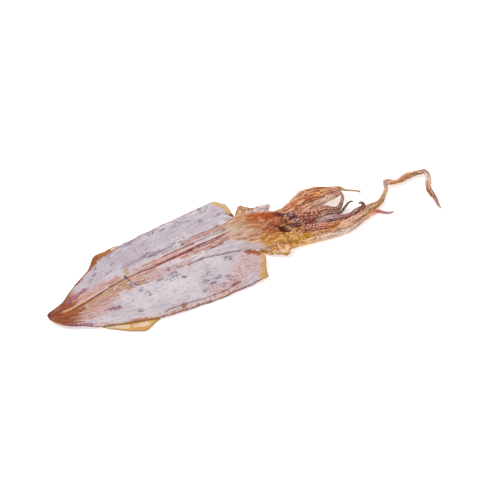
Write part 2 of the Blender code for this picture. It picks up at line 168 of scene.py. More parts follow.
LEFT_HEIGHT = ((-3.5, 4.5), (25, 3), (45, 2.2), (90, 2.2), (115, 1.2), (160, 1.1), (204, 3.4))
RIGHT_HEIGHT = ((-3.5, 4.5), (25, 3), (45, 2.2), (90, 2.2), (120, 1.4), (150, 1.1), (175, 2.2), (204, 4))
FRONT_EDGE = ((-1, 193.5), (-0.93, 194.5), (-0.88, 195.5), (-0.76, 199), (-0.66, 202), (-0.5, 201.5),
              (0, 203), (0.44, 201), (0.65, 202), (0.78, 202), (0.86, 199.5), (0.94, 197), (1, 193.5))
EDGE_WAVE, EDGE_WAVE_LENGTH = 0.9, 13.0
ARCH_POWER = 1.8
MANTLE_ROWS, MANTLE_COLUMNS = 262, 170
HALF_WIDTH = 56.0
# Columns stand closer near the pen and rows near the tail, and the first row lies a little in from the tip
COLUMN_CROWDING, ROW_CROWDING, FIRST_ROW = 0.28, 1.06, 0.0065
SIDE_ROUNDING, FRONT_ROUNDING, RIM_DROP = 0.045, 0.012, 0.85
GROOVE_DEPTH = 0.9
GROOVE_SPAN = (0, 20, 194, 10)
GROOVE_WIDTH = ((0, 0.6), (60, 0.6), (98, 0.7), (112, 1.5), (135, 1.8), (172, 1.7), (184, 1), (204, 0.6))
PEN_RIDGE_HEIGHT, PEN_RIDGE_OFFSET, PEN_RIDGE_WIDTH = 0.32, 2.4, 1.1
WRINKLE_HEIGHT, WRINKLE_LENGTH, WRINKLE_SPACING = 0.5, 34.0, 9.0
FIBRE_HEIGHT, FIBRE_LENGTH, FIBRE_SPACING = 0.3, 18.0, 1.5
COCKLE_HEIGHT, COCKLE_LENGTH = 0.7, 9.0
TAIL_CREASE_HEIGHT, TAIL_CREASE_LENGTH, TAIL_CREASES, TAIL_CREASE_SPAN = 1.5, 30.0, 9.0, (-3, 12, 60, 60)
PORE_HEIGHT, PORE_SIZE = 0.14, 1.6
STRAP_LEFT = ((96, 4), (109, 9), (126, 12.5), (163, 12), (204, 12.5))
STRAP_RIGHT = ((98, -8), (116, -15.5), (137, -18), (151, -18), (162, -20), (174, -24), (192, -29), (204, -36))
STRAP_SPAN = (98, 70, 208, 16)
STRAP_HEIGHT, STRAP_EDGE = 1.4, 2.5
STRAP_FURROWS, FURROW_DEPTH = 6, 0.4
STRAP_FIBRES, STRAP_FIBRE_HEIGHT, STRAP_FIBRE_LENGTH = 17, 0.25, 14.0
FOLD_SINK, FOLD_LIP, FOLD_LIP_WIDTH = 1.4, 0.6, 2.6
# Creases pressed into the inner face: their points, half width and depth
FOLDS = [
    ([(134, -18), (149, -18), (157, -19.5), (168, -22.5), (180, -25.5), (192, -30)], 0.8, 0.7),
    ([(138, 10), (151, 9.5), (164, 9), (177, 8.5), (188, 8), (197, 11)], 0.8, 0.6),
    ([(141, 4), (158, 1.5), (171, 1), (182, 1.5), (193, 1)], 0.7, 0.6),
    ([(154, -12), (158, -12), (174, -12)], 0.8, 0.7),
    ([(92, -51.5), (97, -51), (110, -52), (115, -53), (130, -55), (140, -56), (152, -57), (162, -56)],
     0.7, 0.8),
]


@functools.cache
def smooth(points, steps=10):
    """Points read from one Catmull-Rom curve through the given ones."""
    given = np.array(points, float)
    ends = np.vstack([2 * given[0] - given[1], given, 2 * given[-1] - given[-2]])
    found = []
    for a, b, c, d in zip(ends, ends[1:], ends[2:], ends[3:]):
        for t in np.linspace(0, 1, steps, endpoint=False):
            found.append(0.5 * (2 * b + (c - a) * t + (2 * a - 5 * b + 4 * c - d) * t**2
                                + (3 * b - a - 3 * c + d) * t**3))
    return np.array(found + [given[-1]])


def read(points, x):
    """The smooth curve through points, read at x."""
    curve = smooth(points)
    return np.interp(x, curve[:, 0], curve[:, 1])


def rise(value):
    """A smooth step from 0 to 1."""
    value = np.clip(value, 0, 1)
    return value * value * (3 - 2 * value)


def bump(distance, width):
    """A rounded ridge, 1 high in its middle."""
    return np.exp(-((distance / width) ** 2))


def between(x, start, rising, end, falling):
    """1 from a start to an end along the body, with a smooth rise and fall of the given lengths."""
    return rise((x - start) / rising) * rise((end - x) / falling)


def grain(*coordinates):
    """Smooth noise from -1 to 1 at many places. A plain number in them only picks another part of it."""
    coordinates = np.broadcast_arrays(*coordinates)
    flat = np.stack([c.ravel() for c in coordinates], axis=1)
    return np.array([noise.noise(p) for p in flat]).reshape(coordinates[0].shape)


def creased(*coordinates):
    """Noise with sharp creases: 0 in them and up to 1 on the rounded folds between."""
    return np.minimum(1, 2.4 * np.abs(grain(*coordinates)))


def strokes(x, y, brush):
    """How much of a brushed stain lies at each place, 0 to 1: each stroke has its points and half width."""
    found = np.zeros(np.shape(x))
    for points, width in brush:
        ends = list(zip(points, points[1:])) or [(points[0], points[0])]
        for (ax, ay), (bx, by) in ends:
            length = (bx - ax) ** 2 + (by - ay) ** 2 or 1.0
            share = np.clip(((x - ax) * (bx - ax) + (y - ay) * (by - ay)) / length, 0, 1)
            away = np.hypot(x - ax - share * (bx - ax), y - ay - share * (by - ay))
            found = np.maximum(found, bump(away, width))
    return found


def mantle_place(x, share):
    """The y and the height of the mantle's middle layer at x, share of the way from the pen to an edge."""
    pen, left = read(PEN_LINE, x), share > 0
    side = np.where(left, 1.0, -1.0)
    edge = np.where(left, read(LEFT_EDGE, x), read(RIGHT_EDGE, x))
    low = np.where(left, read(LEFT_HEIGHT, x), read(RIGHT_HEIGHT, x))
    wave = side * EDGE_WAVE * grain(x / EDGE_WAVE_LENGTH, side, 5.5) * rise(x / 30)
    y = pen + np.abs(share) * (edge + wave - pen)
    z = low + (read(PEN_HEIGHT, x) - low) * (1 - np.abs(share) ** ARCH_POWER)
    return y, z


def strap_relief(x, y):
    """How far the furrowed muscle straps stand above the mantle."""
    left, right = read(STRAP_LEFT, x), read(STRAP_RIGHT, x)
    inside = rise((left - y) / STRAP_EDGE) * rise((y - right) / STRAP_EDGE)
    share = (y - right) / (left - right)
    furrows = FURROW_DEPTH * np.cos(2 * math.pi * STRAP_FURROWS * share)
    fibres = STRAP_FIBRE_HEIGHT * grain(x / STRAP_FIBRE_LENGTH, share * STRAP_FIBRES, 2.7)
    return between(x, *STRAP_SPAN) * inside * (STRAP_HEIGHT + furrows + fibres)


def mantle_relief(x, y, share):
    """How far the inner face stands above or below a smooth sheet."""
    from_pen = y - read(PEN_LINE, x)
    groove = -GROOVE_DEPTH * bump(from_pen, read(GROOVE_WIDTH, x))
    ridges = PEN_RIDGE_HEIGHT * bump(np.abs(from_pen) - PEN_RIDGE_OFFSET, PEN_RIDGE_WIDTH)
    wrinkles = WRINKLE_HEIGHT * grain(x / WRINKLE_LENGTH, y / WRINKLE_SPACING, 3.1) * (1 - share**4)
    fibres = FIBRE_HEIGHT * grain(x / FIBRE_LENGTH, share * HALF_WIDTH / FIBRE_SPACING, 8.3)
    creases = TAIL_CREASE_HEIGHT * grain(x / TAIL_CREASE_LENGTH, share * TAIL_CREASES, 1.9)
    pores = PORE_HEIGHT * grain(x / PORE_SIZE, y / PORE_SIZE, 4.4)
    relief = (groove + ridges) * between(x, *GROOVE_SPAN) + wrinkles + strap_relief(x, y) + fibres
    relief = relief + creases * between(x, *TAIL_CREASE_SPAN) + pores
    for points, width, depth in FOLDS:
        relief = relief - FOLD_SINK * depth * strokes(x, y, [(points, width)])
        relief = relief + FOLD_LIP * depth * strokes(x, y, [(points, FOLD_LIP_WIDTH * width)])
    return relief


node_low, node_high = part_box("dried_squid")
FRAME_SHIFT = np.array([node_low.x - DRAWN_TAIL * MM, node_high.y - DRAWN_LEFT * MM, 0])


def to_frame(places):
    """Places on the drawing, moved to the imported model's frame in metres."""
    return np.asarray(places) * MM + FRAME_SHIFT


def fibre_way(along, across):
    """The mark that a pattern follows on a piece: the mm along its fibres and across them."""
    return np.stack([along * MM, across * MM, along * 0], axis=2)


def shape(piece, places, marks):
    """Moves a piece's points to places on the drawing, and gives them marks for its material to read."""
    piece.data.vertices.foreach_set("co", to_frame(places).reshape(-1, 3).ravel())
    for mark, values in marks.items():
        several = values.ndim == 3
        layer = piece.data.attributes.new(mark, "FLOAT_VECTOR" if several else "FLOAT", "POINT")
        layer.data.foreach_set("vector" if several else "value", np.ascontiguousarray(values, float).ravel())
    piece.data.update()
    piece.data.shade_smooth()


def skin(name, places, marks, rolled=False):
    """A grid pushed onto rows of places, with its marks. A rolled one closes into a tube."""
    rows, columns = places.shape[:2]
    made = started(name, bpy.ops.mesh.primitive_grid_add, x_subdivisions=columns - 1, y_subdivisions=rows - 1,
                   size=1)
    shape(made, places, marks)
    if rolled:
        close_up(made)
    elif sum(face.normal.z for face in made.data.polygons) < 0:
        all_faces(made, bpy.ops.mesh.flip_normals)
    return made


def all_faces(piece, *steps):
    """Does each step in edit mode on all of a piece."""
    bpy.context.view_layer.objects.active = piece
    bpy.ops.object.mode_set(mode="EDIT")
    bpy.ops.mesh.select_all(action="SELECT")
    for step in steps:
        step()
    bpy.ops.object.mode_set(mode="OBJECT")


def close_up(piece):
    """Merges points that lie on each other and turns the faces outwards."""
    merge = functools.partial(bpy.ops.mesh.remove_doubles, threshold=0.005 * MM)
    all_faces(piece, merge, bpy.ops.mesh.normals_make_consistent)


def thicken(piece, thickness, rim_share, thinning):
    """Gives a sheet its thickness downwards, thinner where thinning is low, and keeps it off the table."""
    group = piece.vertex_groups.new(name="thickness")
    for index, weight in enumerate(thinning.ravel()):
        group.add([index], float(weight), "REPLACE")
    wall = piece.modifiers.new("wall", "SOLIDIFY")
    wall.thickness = thickness * MM
    wall.offset = -1
    wall.vertex_group = group.name
    wall.thickness_vertex_group = rim_share
    wall.material_offset = 1
    bpy.context.view_layer.objects.active = piece
    bpy.ops.object.modifier_apply(modifier=wall.name)
    piece.vertex_groups.clear()
    for vertex in piece.data.vertices:
        vertex.co.z = max(vertex.co.z, 0.0)


def finish(piece, *materials):
    """The piece's materials, and its place in the model."""
    for material in materials:
        piece.data.materials.append(material)
    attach(piece, "root")
    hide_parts("dried_squid")


# Where each stain lies on the inner face, and the painted shade along the pressed creases: points and half
# width
INNER_STAINS = {
    "lilac": [([(50, 16), (80, 22), (120, 26), (160, 26), (184, 28)], 14),
              ([(82, 11), (100, 11.5), (130, 7)], 5)],
    "shade": [([(82, 9.5), (100, 11.5), (124, 9)], 3), ([(60, 30), (90, 37), (130, 40)], 2.2)],
    "neck": [([(182, 2), (196, -6), (200, -20)], 9)],
    "salmon": [([(12, -13), (34, -16), (58, -13)], 8), ([(20, -20), (44, -23)], 5.5),
               ([(30, -5), (52, -2), (70, 0)], 3.5), ([(40, -14), (72, -11)], 4), ([(56, -7), (104, -7)], 3),
               ([(90, 0), (132, 1)], 2.6), ([(134, -8), (192, -10)], 3.2), ([(24, 0), (66, 0)], 3.5),
               ([(10, 0), (28, 8)], 4), ([(140, 6), (192, 6)], 2.6), ([(82, -13), (106, -14)], 3.5)],
    "pink": [([(146, -57), (166, -54), (180, -48), (193, -48)], 7.5), ([(180, -40), (194, -38)], 6),
             ([(170, -44), (186, -38)], 5), ([(190, -33), (196, -40)], 3),
             ([(24, 5), (37, 2), (50, 0)], 2.6), ([(38, -23), (46, -24.5)], 3.4),
             ([(12, -24), (28, -31), (44, -38)], 1.6), ([(108, -3.5), (128, -3)], 2),
             ([(162, -50), (172, -48)], 5), ([(118, -3), (150, -3)], 3), ([(100, -13), (134, -16)], 3.5),
             ([(140, -50), (160, -54)], 4), ([(184, -30), (194, -44)], 5)],
    "strip": [([(90, -55), (112, -57.5), (140, -60.5), (164, -61)], 2.4), ([(60, -44), (90, -54)], 1.2)],
    "smudge": [([(78, -13), (82, -14)], 2.4)],
    "tan": [([(82, 7), (80, 0)], 2.4), ([(26, -9), (42, -10), (60, -9)], 2), ([(24, -15), (40, -17)], 1.6),
            ([(70, -4), (73, -10), (75, -14)], 4), ([(68, -7), (84, -7.5)], 1.6)],
    "ochre": [([(193, 44), (195, 35), (199, 27), (199, 17)], 2.6),
              ([(202, -37), (199, -47), (194, -54), (188, -61)], 3.6),
              ([(44, 23), (60, 32), (68, 35.5)], 1.6), ([(30, -36), (58, -45), (84, -54)], 1.3),
              ([(190, -62), (196, -57)], 3)],
    "amber": [([(189, -30), (198, -37)], 2.6), ([(36, 17), (44, 21.5), (52, 26), (62, 31)], 1.9)],
    "rust": [([(5, -4), (9, -4)], 2.2), ([(16, -1), (21, -4)], 2.4), ([(10, -5), (13, -4)], 1.8),
             ([(109, -53), (112, -53)], 1.6), ([(160, -55), (167, -55)], 1.5),
             ([(191, -31), (196, -35)], 1.3), ([(118, 2), (150, 1)], 0.7)],
    "dark": [([(142, -4.5), (145, -4.5)], 1.1), ([(77, -1), (77, -2.4)], 1.2), ([(77, -2), (80, -13)], 0.6),
             ([(200, 12), (198, 17)], 1.6)],
    "plum": [([(-3, -4.8), (-1.5, -5)], 1.3), ([(9, -21.5), (18, -27), (28, -31)], 1.7),
             ([(50, -26), (58, -28)], 2.4), ([(20, 0), (30, 3.5), (40, 5)], 2)],
    # The crease mark is painted shade: dark colour laid along the pressed creases
    "crease": [(points, 0.6) for points, _, _ in FOLDS],
}
# Short grey-violet marks of dried blood vessels and scraped skin: place and length
SMUDGES = [
    (100, 35, 7), (123, 36.5, 7), (134, 35.5, 5), (146, 34.5, 8), (152, 37, 5), (157, 39.5, 6),
    (161, 33.5, 4), (178, 41, 6), (177, 36, 7), (184, 39, 4), (188, 24, 7), (170, 25, 5), (179, 11.5, 6),
    (147, 13.5, 4), (143, 8.5, 6), (140, 5.5, 5), (129, 9.5, 7), (182, 1.5, 5), (193, 13, 8), (196, 20, 6),
    (169, -28, 8), (172, -30, 5), (117, -20, 8), (124, -28, 5), (124, -15.5, 6), (84, -22, 5), (86, -26, 6),
    (73, -40, 5), (115, -14, 6), (118, -23.5, 7), (140, -40, 6), (152, -42, 9), (161, -45, 7), (146, -34, 5),
    (152, -51, 6), (135, -48, 5), (145, -45, 7), (162, -49.5, 6), (110, -24, 5), (104, -20, 6), (92, -17, 6),
    (60, 25, 4), (112, 8.5, 12), (105, 13, 8), (134, 11, 8), (55, 18, 5), (48, 12, 6), (76, 30, 4),
    (88, -30, 3), (66, 12, 6), (74, 20, 4), (110, 28, 5), (99, 21, 4),
]
SMUDGE_WIDTH = 1.7

# How far the bare amber flesh reaches up the tail, in mm, at shares of the way out from the pen to an edge
AMBER_REACH = ((-1, 16), (-0.8, 20), (-0.62, 19), (-0.45, 21), (-0.3, 26), (-0.16, 31), (-0.08, 30), (0, 22),
               (0.12, 19), (0.25, 27), (0.45, 26), (0.7, 24), (0.85, 22), (1, 22))
AMBER_RAG, AMBER_TONGUES, AMBER_FRINGE, AMBER_FADE = 9.0, 22.0, 8.0, 13.0
# The pale and dark lines along the pen: how far from it, their half width, and where they start and end. The
# pale lines lie on the ridges beside the pen: the band's is painted highlight, and the cream line is the
# flesh's peach with painted highlight on it
CREAM_HIGHLIGHT_LINE, PEN_MARK = (2.2, 1.2, (8, 6, 60, 24)), (0, 0.8, (6, 22, 112, 10))
BAND_RIDGE_HIGHLIGHT, MARGIN_LINE = (2.4, 0.8, (66, 30, 192, 12)), (1.3, 1.2, (-4, 6, 46, 14))
# The red band along the pen, which splits into two lines towards the head
BAND_WIDTH, BAND_SPAN, BAND_SPLITS = 1.9, (98, 12, 190, 12), (130.0, 20.0)
BAND_LINE_FROM_PEN, BAND_LINE_WIDTH = 1.3, 0.65
LEFT_RIM, RIGHT_RIM = 0.08, 0.034
# Half the mantle's width as its fibres see it, the same all the way along
FIBRES_HALF_WIDTH = 54.0

even_columns = np.linspace(-1, 1, MANTLE_COLUMNS)
share_columns = (1 - COLUMN_CROWDING) * even_columns + COLUMN_CROWDING * even_columns**3
along_rows = FIRST_ROW + (1 - FIRST_ROW) * np.linspace(0, 1, MANTLE_ROWS) ** ROW_CROWDING
share_grid, along_grid = np.meshgrid(share_columns, along_rows)
x_grid = TAIL_TIP + along_grid * (read(FRONT_EDGE, share_grid) - TAIL_TIP)
y_grid, z_grid = mantle_place(x_grid, share_grid)
cockle = COCKLE_HEIGHT * grain(x_grid / COCKLE_LENGTH, np.sign(share_grid) * 2, 6.1) * np.abs(share_grid) ** 6
z_grid = z_grid + THICKNESS / 2 + cockle * rise(x_grid / 30)
to_rim = np.minimum((1 - np.abs(share_grid)) / SIDE_ROUNDING, (1 - along_grid) / FRONT_ROUNDING)
roundness = np.sqrt(np.clip(1 - (1 - np.clip(to_rim, 0, 1)) ** 2, 0, 1))
z_grid = z_grid - THICKNESS / 2 * (1 - roundness) * RIM_DROP

mantle_marks = {"flow": fibre_way(x_grid, share_grid * FIBRES_HALF_WIDTH)}
rim_share = np.where(share_grid > 0, LEFT_RIM, RIGHT_RIM)
mantle_marks["rim"] = 1 - np.clip((1 - np.abs(share_grid)) / rim_share, 0, 1)
for stain, brush in INNER_STAINS.items():
    mantle_marks[stain] = strokes(x_grid, y_grid, brush)
from_pen = y_grid - read(PEN_LINE, x_grid)
to_edge = (1 - share_grid) * (read(LEFT_EDGE, x_grid) - read(PEN_LINE, x_grid))
reach = np.interp(share_grid, *zip(*AMBER_REACH)) + AMBER_RAG * grain(share_grid * AMBER_TONGUES, 0.4, 6.6)
mantle_marks["amber"] = np.maximum(mantle_marks["amber"], rise((reach + AMBER_FRINGE - x_grid) / AMBER_FADE))
for mark, away, (offset, width, span) in (
        ("cream", from_pen, CREAM_HIGHLIGHT_LINE), ("pen", from_pen, PEN_MARK),
        ("band_ridge_highlight", np.abs(from_pen), BAND_RIDGE_HIGHLIGHT), ("margin", to_edge, MARGIN_LINE)):
    mantle_marks[mark] = bump(away - offset, width) * between(x_grid, *span)
line_marks = bump(np.abs(from_pen) - BAND_LINE_FROM_PEN, BAND_LINE_WIDTH)
two_lines = np.maximum(0.5 * bump(from_pen, BAND_WIDTH), line_marks)
split = rise((x_grid - BAND_SPLITS[0]) / BAND_SPLITS[1])
band = two_lines * split + bump(from_pen, BAND_WIDTH * 0.8) * (1 - split)
mantle_marks["band"] = band * between(x_grid, *BAND_SPAN)
for x, y, length in SMUDGES:
    pen = read(PEN_LINE, x)
    edge = read(LEFT_EDGE if y > pen else RIGHT_EDGE, x)
    share = (y - pen) / abs(edge - pen)
    across = (share_grid - share) * abs(edge - pen)
    mark = bump(x_grid - x, length / 2) * bump(across, SMUDGE_WIDTH)
    mantle_marks["smudge"] = np.maximum(mantle_marks["smudge"], mark)

mantle = skin("mantle", np.stack([x_grid, y_grid, z_grid], axis=2), mantle_marks)
thicken(mantle, THICKNESS, 0.15, roundness)
relief = mantle_relief(x_grid, y_grid, share_grid).ravel() * MM
for index, lift in enumerate(relief):
    mantle.data.vertices[index].co.z += lift


def coated(add, colour, coats):
    """Lays thin coats over a colour. Each has a pattern, a range of it, how much of the coat lies at either
    end of that range, and the coat's tone."""
    for sockets, code in coats:
        amount = add("MapRange", sockets)[0]
        colour = add("Mix", {0: amount, 6: colour, 7: tone(code)}, data_type="RGBA")[2]
    return colour


def grounds(add):
    """The two places a pattern can follow: along the piece's own surface, and through its space."""
    return add("Attribute", attribute_name="flow")[1], add("TexCoord")[3]


def inner_flesh():
    """Dried mantle muscle under its bloom: pale violet grey, fibrous along the body, and half clear amber
    where it is thin. The bloom is matt and powdery, and the bare amber flesh has a soft gloss.
    Fibres are 1.25 mm wide, and the powder, which is finer than a hair, is drawn as 1.3 mm grains to show."""
    material, shader, add = new_material("bloomed_squid_muscle_dried")
    flow, place = grounds(add)
    fibres = add("Mapping", {0: flow, 3: (per(18.18), per(1.25), 1)})[0]
    streaks = add("Mapping", {0: flow, 1: (0.3, 0.1, 0), 3: (per(7.692), per(1.613), 1)})[0]
    # Each noise: its place, a number it doesn't use, then its scale, detail and roughness
    fibre, streak, cloud, crystal, blotch = (add("TexNoise", values)[0] for values in (
        (fibres, 0, 1, 5, 0.6), (streaks, 0, 1, 5, 0.6), (place, 0, per(18.18), 4, 0.5),
        (place, 0, per(1.333), 3, 0.7), (place, 0, per(2.381), 4, 0.7)))
    thread, dashes, specks, grainy, drawn, patch = (add("MapRange", sockets)[0] for sockets in (
        (fibre, 0.42, 0.6, 0, 1), (blotch, 0.44, 0.6, 0, 1), (crystal, 0.5, 0.62, 0, 1),
        (blotch, 0.35, 0.65, -0.5, 0.5), (streak, 0.35, 0.65, -0.5, 0.5), (cloud, 0.45, 0.6, 0.1, 0.6)))
    colour = add("ValToRGB", (cloud,), ((0.36, "#C4B7BF"), (0.64, "#D6CCD1")))[0]
    colour = coated(add, colour, (
        ((fibre, 0.42, 0.6, 0, 0.34), "#AE9EA8"), ((streak, 0.56, 0.67, 0, 0.9), "#947E88"),
        ((crystal, 0.48, 0.64, 0, patch), "#F0EAEC")))
    # Each stain: its two colours along the fibres, how far it covers, how much grain and fibre break it up
    stains = (
        ("lilac", "#9A8A97", "#BBAEB8", 0.65, 0.5, 0.8), ("shade", "#857082", "#A593A0", 0.75, 0.9, 1.9),
        ("neck", "#B99A88", "#D4BEB0", 0.8, 0.3, 0.8), ("salmon", "#985A40", "#CE9E88", 0.9, 0.5, 1.6),
        ("pink", "#883638", "#D2AEAE", 0.92, 1.8, 1.2), ("strip", "#A8604C", "#E2C4B6", 0.85, 0.9, 0.4),
        ("tan", "#98683E", "#C8A27E", 0.9, 0.6, 0.6), ("smudge", "#5E505A", "#85747F", 0.75, 2.6, 1.4),
        ("rim", "#6A3632", "#9A6258", 0.9, 0.6, 0.3), ("ochre", "#B88436", "#D8AE66", 0.92, 0.3, 0.25),
        # cream: the flesh's peach on the ridge beside the pen, lightened as painted highlight
        ("amber", "#80360C", "#AE5816", 0.98, 0.35, 1), ("cream", "#C8905E", "#E0B68E", 0.9, 0.3, 0.3),
        # The pale pink lines beside the pen band are painted highlight on its ridges
        ("rust", "#742C18", "#A65434", 0.9, 0.6, 0.6), ("band_ridge_highlight", "#B4706A", "#E6CCC8", 0.85, 0.7, 0.7),
        ("pen", "#7A2E0E", "#A4562C", 0.97, 0.2, 0.2), ("band", "#74281C", "#9A442C", 0.97, 0.3, 0.4),
        ("margin", "#3E2420", "#6A3828", 0.92, 0.3, 0.1), ("plum", "#6A2E44", "#A8687E", 0.85, 1.0, 0.4),
        # The crease colours below are painted shade in the pressed creases, not a stain
        ("dark", "#3E201A", "#5C3226", 0.92, 0.2, 0.1), ("crease", "#5A2E26", "#8E5A48", 0.85, 0.5, 0.2),
    )
    for stain, deep, light, most, ragged, fibrous in stains:
        lies = add("Attribute", attribute_name=stain)[2]
        edge = add("Math", (grainy, ragged, lies), operation="MULTIPLY_ADD")[0]
        edge = add("Math", (drawn, fibrous, edge), operation="MULTIPLY_ADD")[0]
        present = add("MapRange", (lies, 0.03, 0.4, 0, most))[0]
        amount = add("MapRange", (edge, 0.1, 0.8, 0, 1))[0]
        amount = add("Math", (amount, present), operation="MULTIPLY")[0]
        along_fibres = {"pink": specks, "strip": dashes, "smudge": dashes}.get(stain, thread)
        tint = add("Mix", {0: along_fibres, 6: tone(light), 7: tone(deep)}, data_type="RGBA")[2]
        colour = add("Mix", {0: amount, 6: colour, 7: tint}, data_type="RGBA")[2]
    amber = add("Attribute", attribute_name="amber")[2]
    bare = add("MapRange", (amber, 0.1, 0.6, 0.3, 0.04))[0]
    gloss = add("MapRange", (amber, 0.2, 0.8, 0.62, 0.36))[0]
    colour = coated(add, colour, [((crystal, 0.56, 0.66, 0, bare), "#EBDDD8")])
    height = add("Math", (crystal, 0.6, fibre), operation="MULTIPLY_ADD")[0]
    raised = add("Bump", {"Strength": 0.6, "Distance": 0.6 * MM, "Height": height})[0]
    feed(shader, {"Base Color": colour, "Roughness": gloss, "Normal": raised, "IOR": 1.45,
                  "Specular IOR Level": 0.35})
    return material


def outer_skin():
    """Dried squid skin with its colour cells: brown red, speckled with dark maroon dots, satin. The cells are
    drawn 1.6 mm apart, about twice as far as on the real one, so that they show."""
    material, shader, add = new_material("squid_skin_dried")
    place = add("TexCoord")[3]
    cloud, wrinkles = (add("TexNoise", values)[0] for values in (
        (place, 0, per(16.67), 5, 0.6), (place, 0, per(4.167), 5, 0.7)))
    cells = add("TexVoronoi", {0: place, "Scale": per(1.613)})[0]
    colour = add("ValToRGB", (cloud,), ((0.3, "#A8745C"), (0.5, "#B98A72"), (0.7, "#C9A88F")))[0]
    colour = coated(add, colour, [((cells, 0.42, 0.2, 0, 0.75), "#6E2E2C")])
    raised = add("Bump", {"Strength": 0.5, "Distance": 0.5 * MM, "Height": wrinkles})[0]
    feed(shader, {"Base Color": colour, "Normal": raised, "Roughness": 0.5, "IOR": 1.45})
    return material


muscle, outer = inner_flesh(), outer_skin()
finish(mantle, muscle, outer)

# The fins
# Two thin flaps on the outer side of the tail, left on and dried flat under the mantle's edges. They are
# bare skin and gristle, so they dry clear amber, with a darker rim where they shrank.
FIN_THICKNESS = 1.3
FIN_BITE = 0.6
FIN_ROWS, FIN_COLUMNS = 90, 60
FIN_RIPPLE, FIN_RIPPLE_SIZE, FIN_CREASE, FIN_CREASES = 0.5, 9.0, 0.18, (9, 22)
FIN_EDGE_ROUNDING, FIN_RIM = 0.05, 0.035
FIN_LENGTH, FIN_REACH = 60.0, 50.0
FINS = {
    "right_fin": (((14, -10), (50, -13), (92, -15)),
                  ((33, -31), (39, -39.5), (43.5, -43), (48.5, -47), (57, -53.3), (63, -56.8), (68.3, -59.2),
                   (74, -58), (80, -55.4), (86, -53.6), (92, -50))),
    "left_fin": (((14, -3), (50, 1), (96, 4)),
                 ((48, 22), (54, 28), (58, 33), (60.5, 37), (63.5, 40), (67, 41.5), (72, 41.6), (76, 41),
                  (80.6, 42), (86, 42.6), (90, 41.4), (94, 38), (101, 35))),
}
FIN_STAINS = {
    "right_fin": {"pale": [([(40, -38), (56, -47)], 2.5), ([(62, -50), (72, -53)], 3)],
                  "brown": [([(46, -46), (58, -55)], 1.2)]},
    "left_fin": {"pale": [([(84, 40), (96, 40)], 3)], "brown": [([(50, 30), (56, 35), (66, 38)], 4)]},
}
FIN_GRISTLE = {"right_fin": ("fin_gristle_ochre", "#D8A86C", "#C48E40"),
               "left_fin": ("fin_gristle_brown", "#B5763C", "#9C5A26")}


def mantle_height(x, y):
    """The height of the mantle's middle layer over a place on the table, or of its edge beyond that."""
    pen, left = read(PEN_LINE, x), y > read(PEN_LINE, x)
    edge = np.where(left, read(LEFT_EDGE, x), read(RIGHT_EDGE, x))
    share = np.clip((y - pen) / (edge - pen), 0, 1)
    return mantle_place(x, np.where(left, share, -share))[1]


def fin_flesh(name, pale, deep):
    """Dried fin gristle, drawn thin: clear ochre amber that takes a soft gloss, browner at its shrunk rim,
    with gristle threads 1.1 mm wide."""
    material, shader, add = new_material(name)
    flow, place = grounds(add)
    threads = add("Mapping", {0: flow, 3: (per(8.333), per(1.111), 1)})[0]
    cloud, thread = (add("TexNoise", values)[0] for values in (
        (place, 0, per(9.091), 4, 0.6), (threads, 0, 1, 4, 0.5)))
    colour = add("ValToRGB", (cloud,), ((0.35, deep), (0.65, pale)))[0]
    colour = coated(add, colour, [((thread, 0.5, 0.7, 0, 0.5), "#B87B3A")])
    torn = add("MapRange", (cloud, 0.3, 0.7, -0.3, 0.3))[0]
    for stain, code in (("pale", "#DFC7AE"), ("brown", "#8A4A20"), ("rim", "#8E5326")):
        edge = add("Math", (add("Attribute", attribute_name=stain)[2], torn), operation="ADD")[0]
        colour = coated(add, colour, [((edge, 0.3, 0.8, 0, 0.85), code)])
    raised = add("Bump", {"Strength": 0.3, "Distance": 0.4 * MM, "Height": thread})[0]
    feed(shader, {"Base Color": colour, "Normal": raised, "Roughness": 0.38, "IOR": 1.45})
    return material


def line_points(line, count):
    """Evenly stepped points on the smooth curve through a line's points."""
    curve = smooth(line)
    lengths = np.concatenate([[0], np.cumsum(np.linalg.norm(np.diff(curve[:, :3], axis=0), axis=1))])
    at = np.linspace(0, lengths[-1], count)
    return np.array([np.interp(at, lengths, curve[:, axis]) for axis in range(curve.shape[1])]).T


def shares(rows, columns):
    """The share of the way along and across a grid at each of its places."""
    return np.meshgrid(np.linspace(0, 1, rows), np.linspace(0, 1, columns), indexing="ij")


def span_between(first, second, share):
    """Places the given shares of the way from the points of one line to those of another."""
    return first[:, None] + (second - first)[:, None] * share[:, :, None]


for fin_name, (root, edge) in FINS.items():
    along, reach = shares(FIN_ROWS, FIN_COLUMNS)
    flat = span_between(line_points(root, FIN_ROWS), line_points(edge, FIN_ROWS), reach)
    x, y = flat[:, :, 0], flat[:, :, 1]
    lying = np.maximum(FIN_THICKNESS - 0.1, mantle_height(x, y) - THICKNESS / 2 + FIN_BITE)
    ripple = FIN_RIPPLE * grain(x / FIN_RIPPLE_SIZE, y / FIN_RIPPLE_SIZE, 3.3) * reach
    z = lying + ripple + FIN_CREASE * grain(along * FIN_CREASES[0], reach * FIN_CREASES[1], 5.1)
    marks = {stain: strokes(x, y, brush) for stain, brush in FIN_STAINS[fin_name].items()}
    marks["flow"] = fibre_way(along * FIN_LENGTH, reach * FIN_REACH)
    marks["rim"] = 1 - np.clip((1 - reach) / FIN_RIM, 0, 1)
    fin = skin(fin_name, np.stack([x, y, z], axis=2), marks)
    thicken(fin, FIN_THICKNESS, 0.3, np.sqrt(1 - (1 - np.clip((1 - reach) / FIN_EDGE_ROUNDING, 0, 1)) ** 2))
    close_up(fin)
    finish(fin, fin_flesh(*FIN_GRISTLE[fin_name]), outer)

